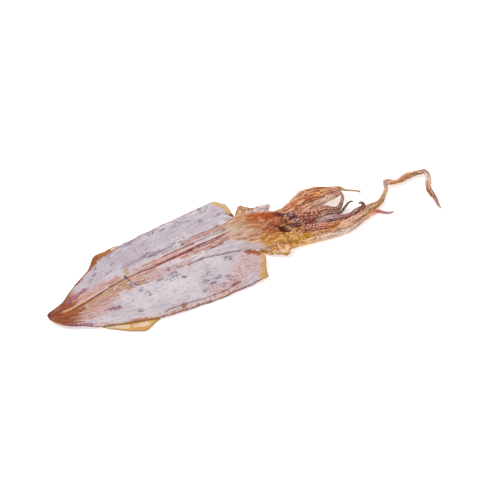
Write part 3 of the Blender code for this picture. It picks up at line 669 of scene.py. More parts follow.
# The neck and head
# The head was slit with the body and laid open: a slab of strands that runs out of the mantle, cream at the
# neck and orange at the cheeks, with the torn ring of one eye, a dark pit behind the beak and a bright rim.
HEAD_TAIL, HEAD_END = 174.0, 268.0
HEAD_LEFT = ((174, 11), (186, 11.5), (200, 13), (212, 12), (222, 9.5), (230, 5), (238, 2), (248, 1),
             (258, -2), (268, -12))
HEAD_RIGHT = ((174, -22), (186, -27), (200, -33), (212, -36), (222, -38.5), (234, -42), (248, -44.5),
              (258, -44), (268, -36))
HEAD_TOP = ((174, 9), (186, 10.2), (196, 11.2), (206, 11.4), (218, 11), (230, 10.5), (245, 9), (255, 7.5),
            (268, 4.5))
HEAD_UNDER = ((174, 7), (186, 8), (200, 6.5), (206, 3.5), (213, 0), (258, 0), (268, 1.5))
# How far the neck's strands stand above the mantle that they grow out of, and where the head lifts off it
NECK_ABOVE = ((174, -1.2), (182, -0.2), (192, 0.5), (204, 0.8))
NECK_STRANDS, NECK_LIFTS = (178.0, 10.0), (194.0, 14.0)
NECK_EDGE_DROP, NECK_STRAND_HEIGHT = 1.6, 0.5
HEAD_ROWS, HEAD_TOP_COLUMNS, HEAD_UNDER_COLUMNS = 230, 170, 30
HEAD_FULLNESS, UNDER_FULLNESS, HEAD_MIDDLE = 0.42, 1.8, 0.35
HEAD_HALF_WIDTH = 24.0
HEAD_RAG, HEAD_RAG_LENGTH = (0.8, 1.2), 3.5
HEAD_LUMP, HEAD_LUMP_SIZE = 1.6, 9.0
BEND, BEND_SIZE = (3.0, 2.5), 9.0
STRAND_HEIGHT, STRAND_SPACING, STRAND_LENGTH = 0.75, 2.0, 15.0
CRUMPLE_HEIGHT, CRUMPLE_LENGTH, CRUMPLE_WIDTH = 1.15, 6.5, 3.0
# The small strands and crumples on them: how high beside the large ones, and how many to each, both ways
SMALL_STRANDS, SMALL_CRUMPLES = (0.45, 2, 2.4), (0.28, 2.5, 2.3)
CRUMPLED = (204.0, 14.0)
EYE_RING, EYE_RING_SIZE, EYE_RING_HEIGHT, EYE_DEPTH = (209, -21.5), 4.0, 1.0, 0.5
EYE_OVAL, EYE_RING_WIDTH, EYE_WIDTH = 0.85, 1.1, 2.4
PIT_LINE, PIT_WIDTH, PIT_DEPTH = [(231.5, -22.5), (234, -26.5), (236, -31.5)], 3.8, 4.0
BRIGHT_RIM, BRIGHT_RIM_WIDTH, BRIGHT_RIM_HEIGHT = [(208, 6), (214, 4), (224, 0), (236, -4.5)], 3, 1.2
HEAD_STAINS = {
    "cream": [([(178, 2), (190, -4), (200, -12)], 11), ([(190, -22), (202, -30)], 7)],
    "bloom": [([(172, 11), (175, 0), (175, -12), (178, -22)], 9.5),
              ([(180, -23), (190, -26), (204, -33)], 5)],
    "olive": [([(190, -2), (200, -3)], 4), ([(203, 2), (210, -4)], 3), ([(206, -14), (210, -13)], 2.5),
              ([(213, -24), (211, -27)], 3)],
    "orange": [([(212, 0), (224, -6), (230, -16)], 8), ([(216, -18), (226, -22)], 7),
               ([(203, -7), (213, -12)], 2.2), ([(200, -17), (206, -18)], 1.5),
               ([(198, -22), (212, -27)], 1.4)],
    "ochre": [([(212, -29), (225, -32), (236, -38), (252, -44)], 7), ([(240, -38), (250, -40)], 4)],
    "yellow": [([(234, -41), (247, -43)], 4)],
    "ember": [([(215, 3), (225, -1.5), (235, -6)], 4.4)],
    "wine": [([(235, -5), (241, -8)], 3), ([(224, -16), (230, -20)], 1.6)],
    "violet": [([(239, -8), (248, -12)], 3.2), ([(241, -20), (247, -30)], 4), ([(247, -11), (255, -15)], 4)],
    # The pit's near-black is painted shade in its hollow, over the dark flesh behind the beak
    "pit": [(PIT_LINE, 4.4)],
    "pink": [([(202, -35), (210, -42)], 3.5)],
}


def mantle_top(x, y):
    """The height of the mantle's inner face without its finest relief."""
    return mantle_height(x, y) + THICKNESS / 2 + strap_relief(x, y)


top_across = np.cos(np.linspace(0, math.pi, HEAD_TOP_COLUMNS))
under_across = np.cos(np.linspace(math.pi, 2 * math.pi, HEAD_UNDER_COLUMNS + 2))[1:]
ring_across = np.concatenate([top_across, under_across])
is_top = np.arange(len(ring_across)) < HEAD_TOP_COLUMNS
x, across = np.meshgrid(np.linspace(HEAD_TAIL, HEAD_END, HEAD_ROWS), ring_across, indexing="ij")
left = read(HEAD_LEFT, x) + HEAD_RAG[0] * grain(x / HEAD_RAG_LENGTH, 2.2, 1.1)
right = read(HEAD_RIGHT, x) + HEAD_RAG[1] * grain(x / HEAD_RAG_LENGTH, 5.2, 1.1)
y = (left + right) / 2 + (left - right) / 2 * across
up = np.sqrt(np.clip(1 - across**2, 0, 1))
top, under = read(HEAD_TOP, x), np.interp(x, *zip(*HEAD_UNDER))
middle = under + HEAD_MIDDLE * (top - under)

# The head's own relief: lumps, strands that turn into crumpled folds, the eye's ring, the pit and the rim
own = middle + (top - middle) * up**HEAD_FULLNESS
own = own + up * HEAD_LUMP * grain(x / HEAD_LUMP_SIZE, y / HEAD_LUMP_SIZE, 7.7)
bend_x = x + BEND[0] * grain(x / BEND_SIZE, y / BEND_SIZE, 3.9)
bend_y = y + BEND[1] * grain(x / BEND_SIZE, y / BEND_SIZE, 8.9)
strand = creased(bend_x / STRAND_LENGTH, bend_y / STRAND_SPACING, 4.2)
high, along, beside = SMALL_STRANDS
small = creased(bend_x / STRAND_LENGTH * along, bend_y / STRAND_SPACING * beside, 9.2)
strand = strand + high * small - 0.6
crumple = creased(bend_x / CRUMPLE_LENGTH, bend_y / CRUMPLE_WIDTH, 0.7)
high, along, beside = SMALL_CRUMPLES
small = creased(bend_x / CRUMPLE_LENGTH * along, bend_y / CRUMPLE_WIDTH * beside, 5.7)
crumple = crumple + high * small - 0.5
rough = rise((x - CRUMPLED[0]) / CRUMPLED[1])
own = own + up**0.5 * (STRAND_HEIGHT * (1 - 0.6 * rough) * strand + rough * CRUMPLE_HEIGHT * crumple)
from_eye = np.hypot(x - EYE_RING[0], (y - EYE_RING[1]) * EYE_OVAL)
own = own + EYE_RING_HEIGHT * bump(from_eye - EYE_RING_SIZE, EYE_RING_WIDTH)
own = own - EYE_DEPTH * bump(from_eye, EYE_WIDTH)
own = own - PIT_DEPTH * strokes(x, y, [(PIT_LINE, PIT_WIDTH)])
own = own + BRIGHT_RIM_HEIGHT * strokes(x, y, [(BRIGHT_RIM, BRIGHT_RIM_WIDTH)])

on_mantle = mantle_top(np.minimum(x, NECK_ABOVE[-1][0] - 1), y) + np.interp(x, *zip(*NECK_ABOVE))
neck_strand = NECK_STRAND_HEIGHT * strand * rise((x - NECK_STRANDS[0]) / NECK_STRANDS[1])
on_mantle = on_mantle - NECK_EDGE_DROP * (1 - up**0.5) + neck_strand
lifted = rise((x - NECK_LIFTS[0]) / NECK_LIFTS[1])
top_z = on_mantle * (1 - lifted) + own * lifted
under_z = middle - (middle - under) * np.minimum(1, UNDER_FULLNESS * up)
z = np.where(is_top[None, :], top_z, np.minimum(under_z, top_z))
ends = between(x, HEAD_TAIL, 2, HEAD_END, 3)
y = y * ends + (left + right) / 2 * (1 - ends)
z = np.maximum(0, z * ends + middle * (1 - ends))
head_marks = {stain: strokes(x, y, brush) for stain, brush in HEAD_STAINS.items()}
head_marks["flow"] = fibre_way(x, across * HEAD_HALF_WIDTH)
# The fold mark is low in the creases, where the material paints shade, and high on the fold tops, where it
# paints a highlight
fold = 0.55 - 0.1 * rough + 0.45 * strand * (1 - 0.7 * rough) + 0.75 * crumple * rough
head_marks["fold"] = np.clip(fold, 0, 1)
places = np.stack([x, y, z], axis=2)
places = np.concatenate([places, places[:, :1]], axis=1)
head_marks = {mark: np.concatenate([found, found[:, :1]], axis=1) for mark, found in head_marks.items()}
head = skin("neck_and_head", places, head_marks, rolled=True)


def head_flesh():
    """Dried head muscle, torn into strands: cream and clear amber streaks, waxy, with a soft gloss. Its
    threads are 1.4 mm wide, and the powder is drawn as 1.25 mm grains to show. Its creases are darkened
    with painted shade and the tops of its folds lightened with a painted highlight."""
    material, shader, add = new_material("squid_head_muscle_dried")
    flow, place = grounds(add)
    threads = add("Mapping", {0: flow, 3: (per(13.33), per(1.429), 1)})[0]
    thread, blotch, crystal = (add("TexNoise", values)[0] for values in (
        (threads, 0, 1, 6, 0.65), (place, 0, per(3.03), 5, 0.7), (place, 0, per(1.25), 3, 0.7)))
    colour = add("ValToRGB", (thread,), (
        (0.32, "#9A5636"), (0.46, "#BE8256"), (0.56, "#CE9E78"), (0.7, "#DDBFA4")))[0]
    fold = add("Attribute", attribute_name="fold")[2]
    relief = add("Math", (blotch, 0.5, fold), operation="MULTIPLY_ADD")[0]
    # Each stain: its colour, how far it covers and how ragged its edge is
    soaked = (
        ("cream", "#C8A898", 0.85, 0.35), ("bloom", "#C9B6B8", 0.97, 0.35), ("olive", "#AE9C74", 0.35, 0.4),
        ("orange", "#A84E14", 0.92, 0.4), ("ochre", "#C68626", 0.92, 0.35), ("yellow", "#C8962A", 0.8, 0.4),
        ("pink", "#DBB6A6", 0.85, 0.3))
    strong = (
        ("ember", "#B44A12", 0.88, 0.45), ("wine", "#7E2020", 0.9, 0.3), ("violet", "#4A2030", 0.9, 0.35),
        # pit: painted shade in the hollow behind the beak
        ("pit", "#541608", 0.98, 0.2))
    # Threads, the painted shade in the creases and the painted highlight on the fold tops show through the
    # soaked stains, and the powder lies over the strong ones
    threads_and_painted_fold_light = (
        ((thread, 0.36, 0.47, 0.75, 0), "#8E5638"), ((thread, 0.55, 0.66, 0, 0.65), "#E8CDB8"),
        # The dark coat on low relief is painted shade in the creases, and the pale one on high relief a
        # painted highlight on the fold tops
        ((relief, 0.3, 0.72, 0.8, 0), "#7E3A18"), ((relief, 0.85, 1.2, 0, 0.42), "#EBC08E"))
    powdered = [((crystal, 0.56, 0.7, 0, 0.14), "#E9D8C8")]
    for stains, coats in ((soaked, threads_and_painted_fold_light), (strong, powdered)):
        for stain, code, most, ragged in stains:
            lies = edge = add("Attribute", attribute_name=stain)[2]
            for pattern in (blotch, thread):
                torn = add("MapRange", (pattern, 0.3, 0.7, -ragged, ragged))[0]
                edge = add("Math", (edge, torn), operation="ADD")[0]
            present = add("MapRange", (lies, 0.04, 0.3, 0, 1))[0]
            amount = add("MapRange", (edge, 0.2, 0.8, 0, most))[0]
            amount = add("Math", (amount, present), operation="MULTIPLY")[0]
            colour = add("Mix", {0: amount, 6: colour, 7: tone(code)}, data_type="RGBA")[2]
        colour = coated(add, colour, coats)
    height = add("Math", (thread, blotch), operation="ADD")[0]
    raised = add("Bump", {"Strength": 0.5, "Distance": 0.6 * MM, "Height": height})[0]
    feed(shader, {"Base Color": colour, "Normal": raised, "Roughness": 0.42, "IOR": 1.45,
                  "Specular IOR Level": 0.3})
    return material


finish(head, head_flesh())

# The torn collar and the cheek skin
# What is left of the funnel and its collar stands off the head's left side and ends in a stiff pale membrane.
# On the right side the cheek's skin dried into a crumpled ochre flap that lies over the table.
FLAPS = {
    "collar": [[(200, 8, 7.5), (203, 16, 7.8)], [(207, 8, 8), (210.5, 22.5, 8.3)],
               [(212, 8, 8.3), (215, 18, 8.8)], [(219, 7, 8.3), (221, 13.5, 8.8)],
               [(224, 4, 8.3), (230, 11.5, 10.3)], [(230, 0, 8.3), (236.5, 7.5, 10.8)]],
    "cheek": [[(203, -28, 8), (203, -35, 3.6)], [(209, -29, 8), (211, -42, 3.6)],
              [(215, -30, 8), (217.5, -46, 4.2)], [(220, -31, 8), (223.5, -49.5, 5)],
              [(226, -32, 7.6), (230, -45, 6)]],
}
FLAP_ROWS, FLAP_COLUMNS = 90, 36
FLAP_THICKNESS, FLAP_EDGE, FLAP_RIM = 1.1, 0.2, 0.07
FLAP_LENGTH, FLAP_REACH = 35.0, 14.0
FLAP_JAG, FLAP_JAGS = 0.12, 30
FLAP_FOLDS, FLAP_SMALL_FOLDS = (7, 2), (17, 6)
FLAP_CRUMPLE = {"collar": 0.7, "cheek": 1.15}
FLAP_COLOURS = {"collar": ("#AE6C3C", "#CC9C70", "#C2B3BA"), "cheek": ("#BE7430", "#E0A860", "#F0D0A8")}
FLAP_PALE = {"collar": [([(225, 8), (234, 6)], 4), ([(212, 12), (222, 9)], 1.5)],
             "cheek": [([(214, -41), (221, -45)], 1.6), ([(206, -33), (210, -36)], 2)]}


def flap_skin(name, deep, mid, pale):
    """Torn skin, dried crisp: clear brown where it is thin, with pale fibres 2.4 mm apart, pale patches and
    a darker brown rim on its free end. Its creases are darkened with painted shade and the tops of its folds
    lightened with a painted highlight."""
    material, shader, add = new_material(name)
    flow, place = grounds(add)
    threads = add("Mapping", {0: flow, 3: (per(3.846), per(2.381), 1)})[0]
    thread, blotch = (add("TexNoise", values)[0] for values in (
        (threads, 0, 1, 5, 0.65), (place, 0, per(2.381), 4, 0.7)))
    lies, fold, rim = (add("Attribute", attribute_name=mark)[2] for mark in ("pale", "fold", "rim"))
    torn = add("MapRange", (blotch, 0.3, 0.7, -0.5, 0.5))[0]
    edge = add("Math", (lies, torn), operation="ADD")[0]
    relief = add("Math", (blotch, 0.35, fold), operation="MULTIPLY_ADD")[0]
    colour = add("ValToRGB", (thread,), ((0.35, deep), (0.6, mid)))[0]
    colour = coated(add, colour, (
        # The dark coat on low relief is painted shade in the creases, and the pale one on high relief a
        # painted highlight on the fold tops
        ((edge, 0.3, 0.7, 0, 0.9), pale), ((relief, 0.25, 0.6, 0.6, 0), "#7A4026"),
        ((relief, 0.85, 1.2, 0, 0.6), "#F4D8BC"), ((rim, 0, 1, 0, 1), "#7E4A2A")))
    height = add("Math", (thread, blotch), operation="ADD")[0]
    raised = add("Bump", {"Strength": 0.5, "Distance": 0.6 * MM, "Height": height})[0]
    feed(shader, {"Base Color": colour, "Normal": raised, "Roughness": 0.42, "IOR": 1.45})
    return material


for flap_name, lines in FLAPS.items():
    along, reach = shares(FLAP_ROWS, FLAP_COLUMNS)
    roots, tips = (line_points(tuple(line), FLAP_ROWS) for line in zip(*lines))
    lie = span_between(roots, tips, reach * (1 + FLAP_JAG * grain(along * FLAP_JAGS, 3.3, 1.2)))
    fold = creased(along * FLAP_FOLDS[0], reach * FLAP_FOLDS[1], 4.1)
    fold = fold + 0.3 * creased(along * FLAP_SMALL_FOLDS[0], reach * FLAP_SMALL_FOLDS[1], 8.1)
    crumple = FLAP_CRUMPLE[flap_name] * (1.4 * fold - 0.8 + grain(along * 5, reach, 2.2))
    lie[:, :, 2] += crumple * rise(reach * 2)
    marks = {"flow": fibre_way(along * FLAP_LENGTH, reach * FLAP_REACH),
             "pale": strokes(lie[:, :, 0], lie[:, :, 1], FLAP_PALE[flap_name]),
             "fold": np.clip(fold / 1.15, 0, 1), "rim": 0.7 * rise((reach - 1 + FLAP_RIM) / FLAP_RIM)}
    flap = skin(flap_name + "_flap", lie, marks)
    thicken(flap, FLAP_THICKNESS, 0.35, np.clip((1 - reach) / FLAP_EDGE, 0, 1) ** 0.5)
    close_up(flap)
    finish(flap, flap_skin(flap_name + "_skin_dried", *FLAP_COLOURS[flap_name]), outer)

# The crown's middle
# The beak's ball of muscle and the arm roots round it shrank into dark crumpled lumps, wine to black violet,
# with pale frost on them. Their creases are darkened with painted shade, and the tops of their folds are
# lightened to the frost colour as a painted highlight.
LUMPS = [
    ("beak_muscle", (247.5, -15, 8.5), (5.5, 4.8, 3.7), ("#4E1C24", "#8C443A", "#C09C98")),
    ("beak", (246, -24.5, 8.5), (6, 4.8, 4), ("#5A2228", "#944C38", "#C4A096")),
    ("brown_root", (254.5, -23, 9), (5.5, 5, 4.5), ("#6C2E20", "#A8603E", "#D8A888")),
    ("maroon_root", (259.5, -28, 8.5), (5, 5, 4), ("#642218", "#984838", "#C88E7C")),
    ("throat", (238.5, -16.5, 8), (6, 5, 3), ("#5E2412", "#924820", "#BE7E48")),
    ("lower_root", (246.5, -31, 7.5), (6, 4, 3), ("#84441E", "#BE7C30", "#E0B470")),
]
LUMP_SIZE, LUMP_WOBBLE, LUMP_FOLDS, SMALL_FOLDS = 0.8, 0.5, (0.9, 2.1, 1.8), 2.3


def crumpled_muscle(name, deep, mid, frost):
    """Shrunk muscle: brown red, nearly black in its creases as painted shade and lightened to the frost
    colour on the tops of its folds as a painted highlight, with a powder of dried salts on top. The powder is
    drawn as
    1 mm grains to show."""
    material, shader, add = new_material(name)
    place = add("TexCoord")[3]
    blotch, speck = (add("TexNoise", values)[0] for values in (
        (place, 0, per(2.381), 5, 0.75), (place, 0, per(1.053), 2, 0.5)))
    fold = add("Attribute", attribute_name="fold")[2]
    mixed = add("Math", (blotch, 0.6, fold), operation="MULTIPLY_ADD")[0]
    # The deep stop on low values is painted shade in the creases, and the frost stop on the fold tops a
    # painted highlight
    colour = add("ValToRGB", (mixed,), ((0.4, deep), (0.8, mid), (1, frost)))[0]
    colour = coated(add, colour, [((speck, 0.56, 0.7, 0, 0.35), frost)])
    raised = add("Bump", {"Strength": 0.7, "Distance": 0.7 * MM, "Height": blotch})[0]
    feed(shader, {"Base Color": colour, "Normal": raised, "Roughness": 0.42, "IOR": 1.45})
    return material


for number, (lump_name, middle, halves, colours) in enumerate(LUMPS):
    lump = started(lump_name, bpy.ops.mesh.primitive_ico_sphere_add, subdivisions=5, radius=1)
    ball = np.array([vertex.co for vertex in lump.data.vertices])
    at = ball * LUMP_FOLDS + (number * 3.7, 0, 0)
    fold = 1.4 * np.abs(grain(*at.T)) + 0.3 * np.abs(grain(*(at * SMALL_FOLDS).T))
    swell = LUMP_SIZE + LUMP_WOBBLE * fold + 0.5 * grain(*(ball * 1.3 + (0, number, 0)).T)
    shape(lump, np.array(middle) + ball * halves * swell[:, None], {"fold": np.minimum(1, fold)})
    finish(lump, crumpled_muscle(lump_name + "_shrunk", *colours))

# The arms and tentacles
# Eight arms and two longer tentacles, dried as they fell: tapered, pinched and curled, with a thin skin edge
# on both sides of the suckered face. Each row has a place on an arm, then the half width and colour there.
ARMS = {
    "upper_outer": [
        (236, -4.5, 5.5, 2.6, "#B4883E"), (246.5, -4, 6.5, 4, "#AE7A40"), (256.5, -1.8, 7, 4.5, "#C48462"),
        (265.5, 2.4, 7.5, 4.6, "#C88F6B"), (274.5, 4.9, 8, 4, "#C17B4B"), (283.5, 3.4, 8, 3.4, "#BD7B4F"),
        (292.5, -0.5, 8, 2.9, "#B26535"), (301, -3.5, 8, 2.4, "#A1462D"), (307, -6.5, 8, 2, "#B3775C"),
        (310, -10.5, 8, 1.3, "#BB9B88"), (315.5, -14.5, 8, 1, "#B0967F"), (320.5, -18, 7.8, 0.9, "#A28973"),
        (322, -20.5, 7, 0.6, "#4B3932")],
    "upper_inner": [
        (244, -6.5, 6.5, 4.5, "#954126"), (252.5, -5, 8, 4.8, "#BC663B"), (262.5, -3, 8.5, 4.6, "#C36D3D"),
        (273, -3, 9, 4, "#B65929"), (282.5, -4, 9, 3.2, "#D47B00"), (292, -5, 8.8, 2.6, "#C77D51"),
        (300, -6.5, 8.5, 2.1, "#B66241"), (305.5, -7.5, 8.3, 1.6, "#9A4B43")],
    "upper_strip": [
        (245.5, -14.5, 6, 4.5, "#8B3A2E"), (256.5, -13.5, 7, 4.4, "#AF553F"),
        (267, -12, 7.5, 3.8, "#D17D59"), (277.5, -12, 7.5, 3.2, "#D8AF9B"),
        (286.5, -11.5, 7.5, 2.7, "#D6BCA9"), (294.5, -11.5, 7.5, 2.4, "#D8A997"),
        (301.5, -11, 7.8, 2, "#C0837D"), (306, -9, 8, 1.3, "#96686C")],
    "middle_hooked": [
        (250, -18, 7, 5, "#792D2E"), (257.5, -20, 8.5, 5, "#8E3F31"), (265.5, -22, 9, 4.6, "#A24833"),
        (274, -21, 8.5, 4, "#994432"), (280.5, -21.5, 8, 3.2, "#A25441"),
        (285.5, -24.5, 7.5, 2.8, "#9B523C"), (290, -26.5, 7.5, 2.3, "#7C4334"),
        (295, -25.5, 7.5, 1.9, "#6E3C2E"), (299.5, -21.5, 7.8, 1.6, "#74402C"),
        (303.5, -16.5, 8, 1.3, "#7E452C"), (305, -11, 8.2, 1.1, "#9A6244")],
    "middle_dark": [
        (253.5, -23.5, 6, 4.5, "#762E29"), (263.5, -25, 7, 4.2, "#873A31"), (273, -26, 7, 3.6, "#975D4E"),
        (281.5, -27, 6.5, 2.8, "#865146"), (288, -29.5, 6, 2.1, "#754A44"), (293, -30.5, 6, 1.6, "#553C40"),
        (298.5, -28, 6, 1.1, "#3F343B"), (304.5, -25, 6, 0.9, "#38313E"), (308.5, -24.5, 6, 0.8, "#312B33"),
        (309.5, -26.5, 6, 0.5, "#2D262E")],
    "middle_curled": [
        (251.5, -28.5, 5, 4.2, "#893B2A"), (262, -29.5, 6, 4, "#B47671"), (272.5, -30.5, 6, 3.4, "#C6A3AD"),
        (282, -33.5, 6, 2.8, "#B6909D"), (290, -36.5, 5.5, 2.5, "#94565D"), (298, -39, 5.5, 2.6, "#78202A"),
        (305, -37.5, 6, 2.7, "#6A1C24"), (310.5, -37, 6.5, 2.3, "#78282E"), (314.5, -36, 7, 1.8, "#4E1C26"),
        (316, -33, 7, 1.4, "#361C26"), (314.5, -31, 7, 1.1, "#2E1A22"), (312.5, -31, 6.5, 0.8, "#2E1A22")],
    "lower_inner": [
        # The dark start carries the pit's painted shade on from the hollow beside it
        (243.5, -30, 5, 3.6, "#662719"), (249, -32.5, 7, 4.2, "#853524"), (256.5, -35, 7.5, 3.8, "#983D33"),
        (266, -37.5, 7, 3.3, "#AA4333"), (275.5, -40.5, 6.5, 2.8, "#CC6E20"),
        (283.5, -41.5, 6, 2.3, "#B85C18"), (291, -42, 5.5, 1.6, "#AA582B")],
    "under": [
        # The dark start carries the pit's painted shade on from the hollow beside it
        (241, -23, 2, 4, "#541E12"), (256, -27, 3, 4.6, "#AC6A36"), (272, -31, 2.6, 4, "#BD8259"),
        (286, -35, 2.4, 3.2, "#AB7165"), (297, -38.5, 2.2, 1.8, "#8D4D47")],
    "short_tentacle": [
        (218, -34.5, 3, 4.5, "#DB8F4A"), (231, -38.5, 3.2, 4.6, "#E89F45"),
        (244.5, -41.5, 3.2, 4.4, "#ECAC4F"), (258, -45, 3.2, 4, "#E4C4A6"), (271.5, -48, 3, 3.8, "#E8CEBE"),
        (284, -50, 3, 3.6, "#E8D2CC"), (294.5, -49.5, 3, 3.3, "#DCBCB0"), (305, -47, 3, 3, "#CDA08A"),
        (315, -44.5, 2.8, 2.8, "#E19F69"), (322.5, -44, 2.6, 2.4, "#D56C69"),
        (326.5, -46, 2.4, 1.8, "#C7535D"), (330, -49.5, 2.2, 1.3, "#A35A6F"),
        (334.5, -52.5, 2.2, 1, "#906C82"), (339, -53.5, 2.5, 0.7, "#6F5566")],
    "long_tentacle": [
        (216.5, -26.5, 3.5, 5, "#C17842"), (229, -31.5, 4, 5.2, "#D8934B"), (242.5, -34.5, 4, 5, "#E0A344"),
        (256, -38, 4, 4.8, "#D09058"), (269, -42, 4, 4.6, "#C47A42"), (280.5, -45, 4, 4.5, "#C88650"),
        (291, -45.5, 4, 4.3, "#DCAC8C"), (302.5, -44, 4, 4, "#C8907A"), (312, -41, 4, 3.7, "#BE7E4A"),
        (320.5, -38.5, 4, 3.5, "#B0763E"), (328, -38.5, 3.8, 3, "#BE8345"),
        (334.5, -37, 3.8, 2.5, "#A8804D"), (341, -32, 3.8, 1.9, "#BD9762"), (347, -27, 4, 1.8, "#CFAF8E"),
        (349.5, -22, 4.2, 2.2, "#C0A6A6"), (353, -19, 4.2, 2.7, "#C79989"), (357, -21.5, 4, 3.1, "#BE6420"),
        (362, -23.5, 3.8, 2.7, "#C2691E"), (367, -23.5, 3.8, 2.9, "#B97E5C"),
        (375, -22.5, 3.8, 3.2, "#A77549"), (382, -23, 3.8, 2.6, "#9C724C"),
        (388.5, -24.5, 4, 2.4, "#9C725F"), (393, -26, 4.2, 2.6, "#AF8C87"),
        (393.5, -30.5, 4.2, 2.8, "#BC9790"), (390.5, -36.5, 4, 2.6, "#E6CABC"),
        (386, -42.5, 3.8, 2.5, "#D09C78"), (383.5, -48, 3.6, 2.4, "#883A2A"),
        (383, -54, 3.2, 2.1, "#843C30"), (382.5, -60, 2.8, 1.8, "#94504A"), (381, -66, 2.5, 1.3, "#7A4C54"),
        (380.5, -72, 2, 0.6, "#6A5060")],
}
ARM_AROUND, ARM_STEP = 40, 0.55
# How far apart the wrinkles' noise is read round an arm: the wider, the more of them
AROUND, WRINKLES_AROUND, SMALL_WRINKLES_AROUND = 1.6, 1.7, 2.0
# How much pale powder and painted highlight an arm has, and how deep the painted shade in its creases is,
# where it isn't the full amount
POWDER_AND_HIGHLIGHT = {"middle_curled": 0.45, "middle_dark": 0.55, "middle_hooked": 0.75, "lower_inner": 0.7}
CREASE_SHADE = {"short_tentacle": 0.5, "long_tentacle": 0.62}
ARM_FLATNESS, CHANNEL_DEPTH, CHANNEL_WIDTH = 0.78, 0.3, 0.5
# How thick an arm is beside its given half width: its bare size, and how much wrinkles and pinches add
ARM_BARE, ARM_WRINKLES, ARM_SMALL_WRINKLES, ARM_PINCH = 0.86, 0.3, 0.12, 0.1
WRINKLE_EVERY, SMALL_WRINKLE_EVERY, PINCH_EVERY = 13.0, 3.0, 5.0
# The long tentacle dried flatter from the middle outwards
TENTACLE_FLATNESS = ((0.4, 1), (0.55, 0.72))
# Turns of the flattened long tentacle about its own line, in degrees at shares of its length
TENTACLE_TWIST = ((0, 0), (0.5, 0), (0.6, 30), (0.66, -25), (0.74, 20), (0.82, -20), (0.9, 25), (1, 0))
SUCKER_SPACING, SUCKER_SIZE, SUCKER_LEAN, SUCKER_SUNK = 2.1, 0.24, 0.36, 0.8
SUCKER_RADIUS, SUCKER_HEIGHT = 1.0, 0.9
# Insets of a sucker's face: how far in and how far up each goes
SUCKER_INSETS = ((0.12, 0.18), (0.3, 0), (0.12, -0.55))
SUCKERS = {"upper_inner": (0.75, 0.95), "upper_strip": (0.1, 0.6),
           "middle_hooked": (0.15, 0.98), "middle_dark": (0.15, 0.7), "middle_curled": (0.2, 0.8),
           "lower_inner": (0.2, 0.95), "short_tentacle": (0.3, 0.8), "long_tentacle": (0.3, 0.5)}


def arm_line(name, step):
    """Evenly stepped places along an arm with the half width at each."""
    line = tuple(row[:4] for row in ARMS[name])
    curve = smooth(line)
    length = np.linalg.norm(np.diff(curve[:, :3], axis=0), axis=1).sum()
    return line_points(line, max(6, round(length / step)))


def arm_frames(line):
    """The side and up directions at each place of a line."""
    ahead = np.gradient(line[:, :3], axis=0)
    ahead /= np.linalg.norm(ahead, axis=1)[:, None]
    side = np.cross((0, 0, 1), ahead)
    side /= np.linalg.norm(side, axis=1)[:, None]
    return side, np.cross(ahead, side)


def arm_flesh(name):
    """A dried arm: its own run of colours, glassy red brown flesh in long wrinkles, with pale skin edges. Its
    threads are 1.1 mm wide, and the frost on it is drawn as 1.25 mm grains to show. Its creases are darkened
    with painted shade and the tops of its wrinkles lightened with a painted highlight."""
    material, shader, add = new_material(name + "_muscle_dried")
    points = np.array([row[:3] for row in ARMS[name]], float)
    lengths = np.concatenate([[0], np.cumsum(np.linalg.norm(np.diff(points, axis=0), axis=1))])
    stops = [(float(at), row[4]) for at, row in zip(lengths / lengths[-1], ARMS[name])]
    flow, place = grounds(add)
    threads = add("Mapping", {0: flow, 3: (per(6.25), per(1.111), 1)})[0]
    thread, blotch, crystal = (add("TexNoise", values)[0] for values in (
        (threads, 0, 1, 6, 0.65), (place, 0, per(2.632), 5, 0.75), (place, 0, per(1.25), 3, 0.7)))
    along, fold, edge = (add("Attribute", attribute_name=mark)[2] for mark in ("along", "fold", "edge"))
    shifted = add("MapRange", (blotch, 0, 1, -0.05, 0.05))[0]
    along = add("Math", (along, shifted), operation="ADD", use_clamp=True)[0]
    torn = add("Math", (blotch, 0.6, fold), operation="MULTIPLY_ADD")[0]
    bright = add("Math", (edge, blotch), operation="MULTIPLY")[0]
    # powder also scales the painted highlight on the wrinkle tops
    powder = POWDER_AND_HIGHLIGHT.get(name, 1)
    colour = coated(add, add("ValToRGB", (along,), stops)[0], (
        # Dark on low fold values is painted shade in the creases, and pale on high ones a painted highlight
        # on the wrinkle tops
        ((torn, 0.45, 0.82, CREASE_SHADE.get(name, 0.94), 0), "#642410"),
        ((torn, 0.88, 1.15, 0, 0.65 * powder), "#F2CCAA"),
        ((thread, 0.53, 0.66, 0, 0.3 * powder), "#E8B790"),
        ((crystal, 0.55, 0.68, 0, 0.25 * powder), "#F0CFB6"),
        ((bright, 0.3, 0.6, 0, 0.7 * powder), "#EFC4A4")))
    height = add("Math", (thread, blotch), operation="ADD")[0]
    raised = add("Bump", {"Strength": 0.5, "Distance": 0.5 * MM, "Height": height})[0]
    feed(shader, {"Base Color": colour, "Normal": raised, "Roughness": 0.4, "IOR": 1.45,
                  "Specular IOR Level": 0.3})
    return material


def sucker_gristle(name, code):
    """Dried sucker gristle: horny and slightly glossy, a tan ring round a cup darkened as painted shade, in
    1.4 mm patches.
    """
    material, shader, add = new_material(name)
    speck = add("TexNoise", {0: add("TexCoord")[3], "Scale": per(1.429), "Detail": 2})[0]
    colour = add("ValToRGB", (speck,), ((0.3, code), (0.75, "#DCC0AA")))[0]
    feed(shader, {"Base Color": colour, "Roughness": 0.35, "IOR": 1.5})
    return material


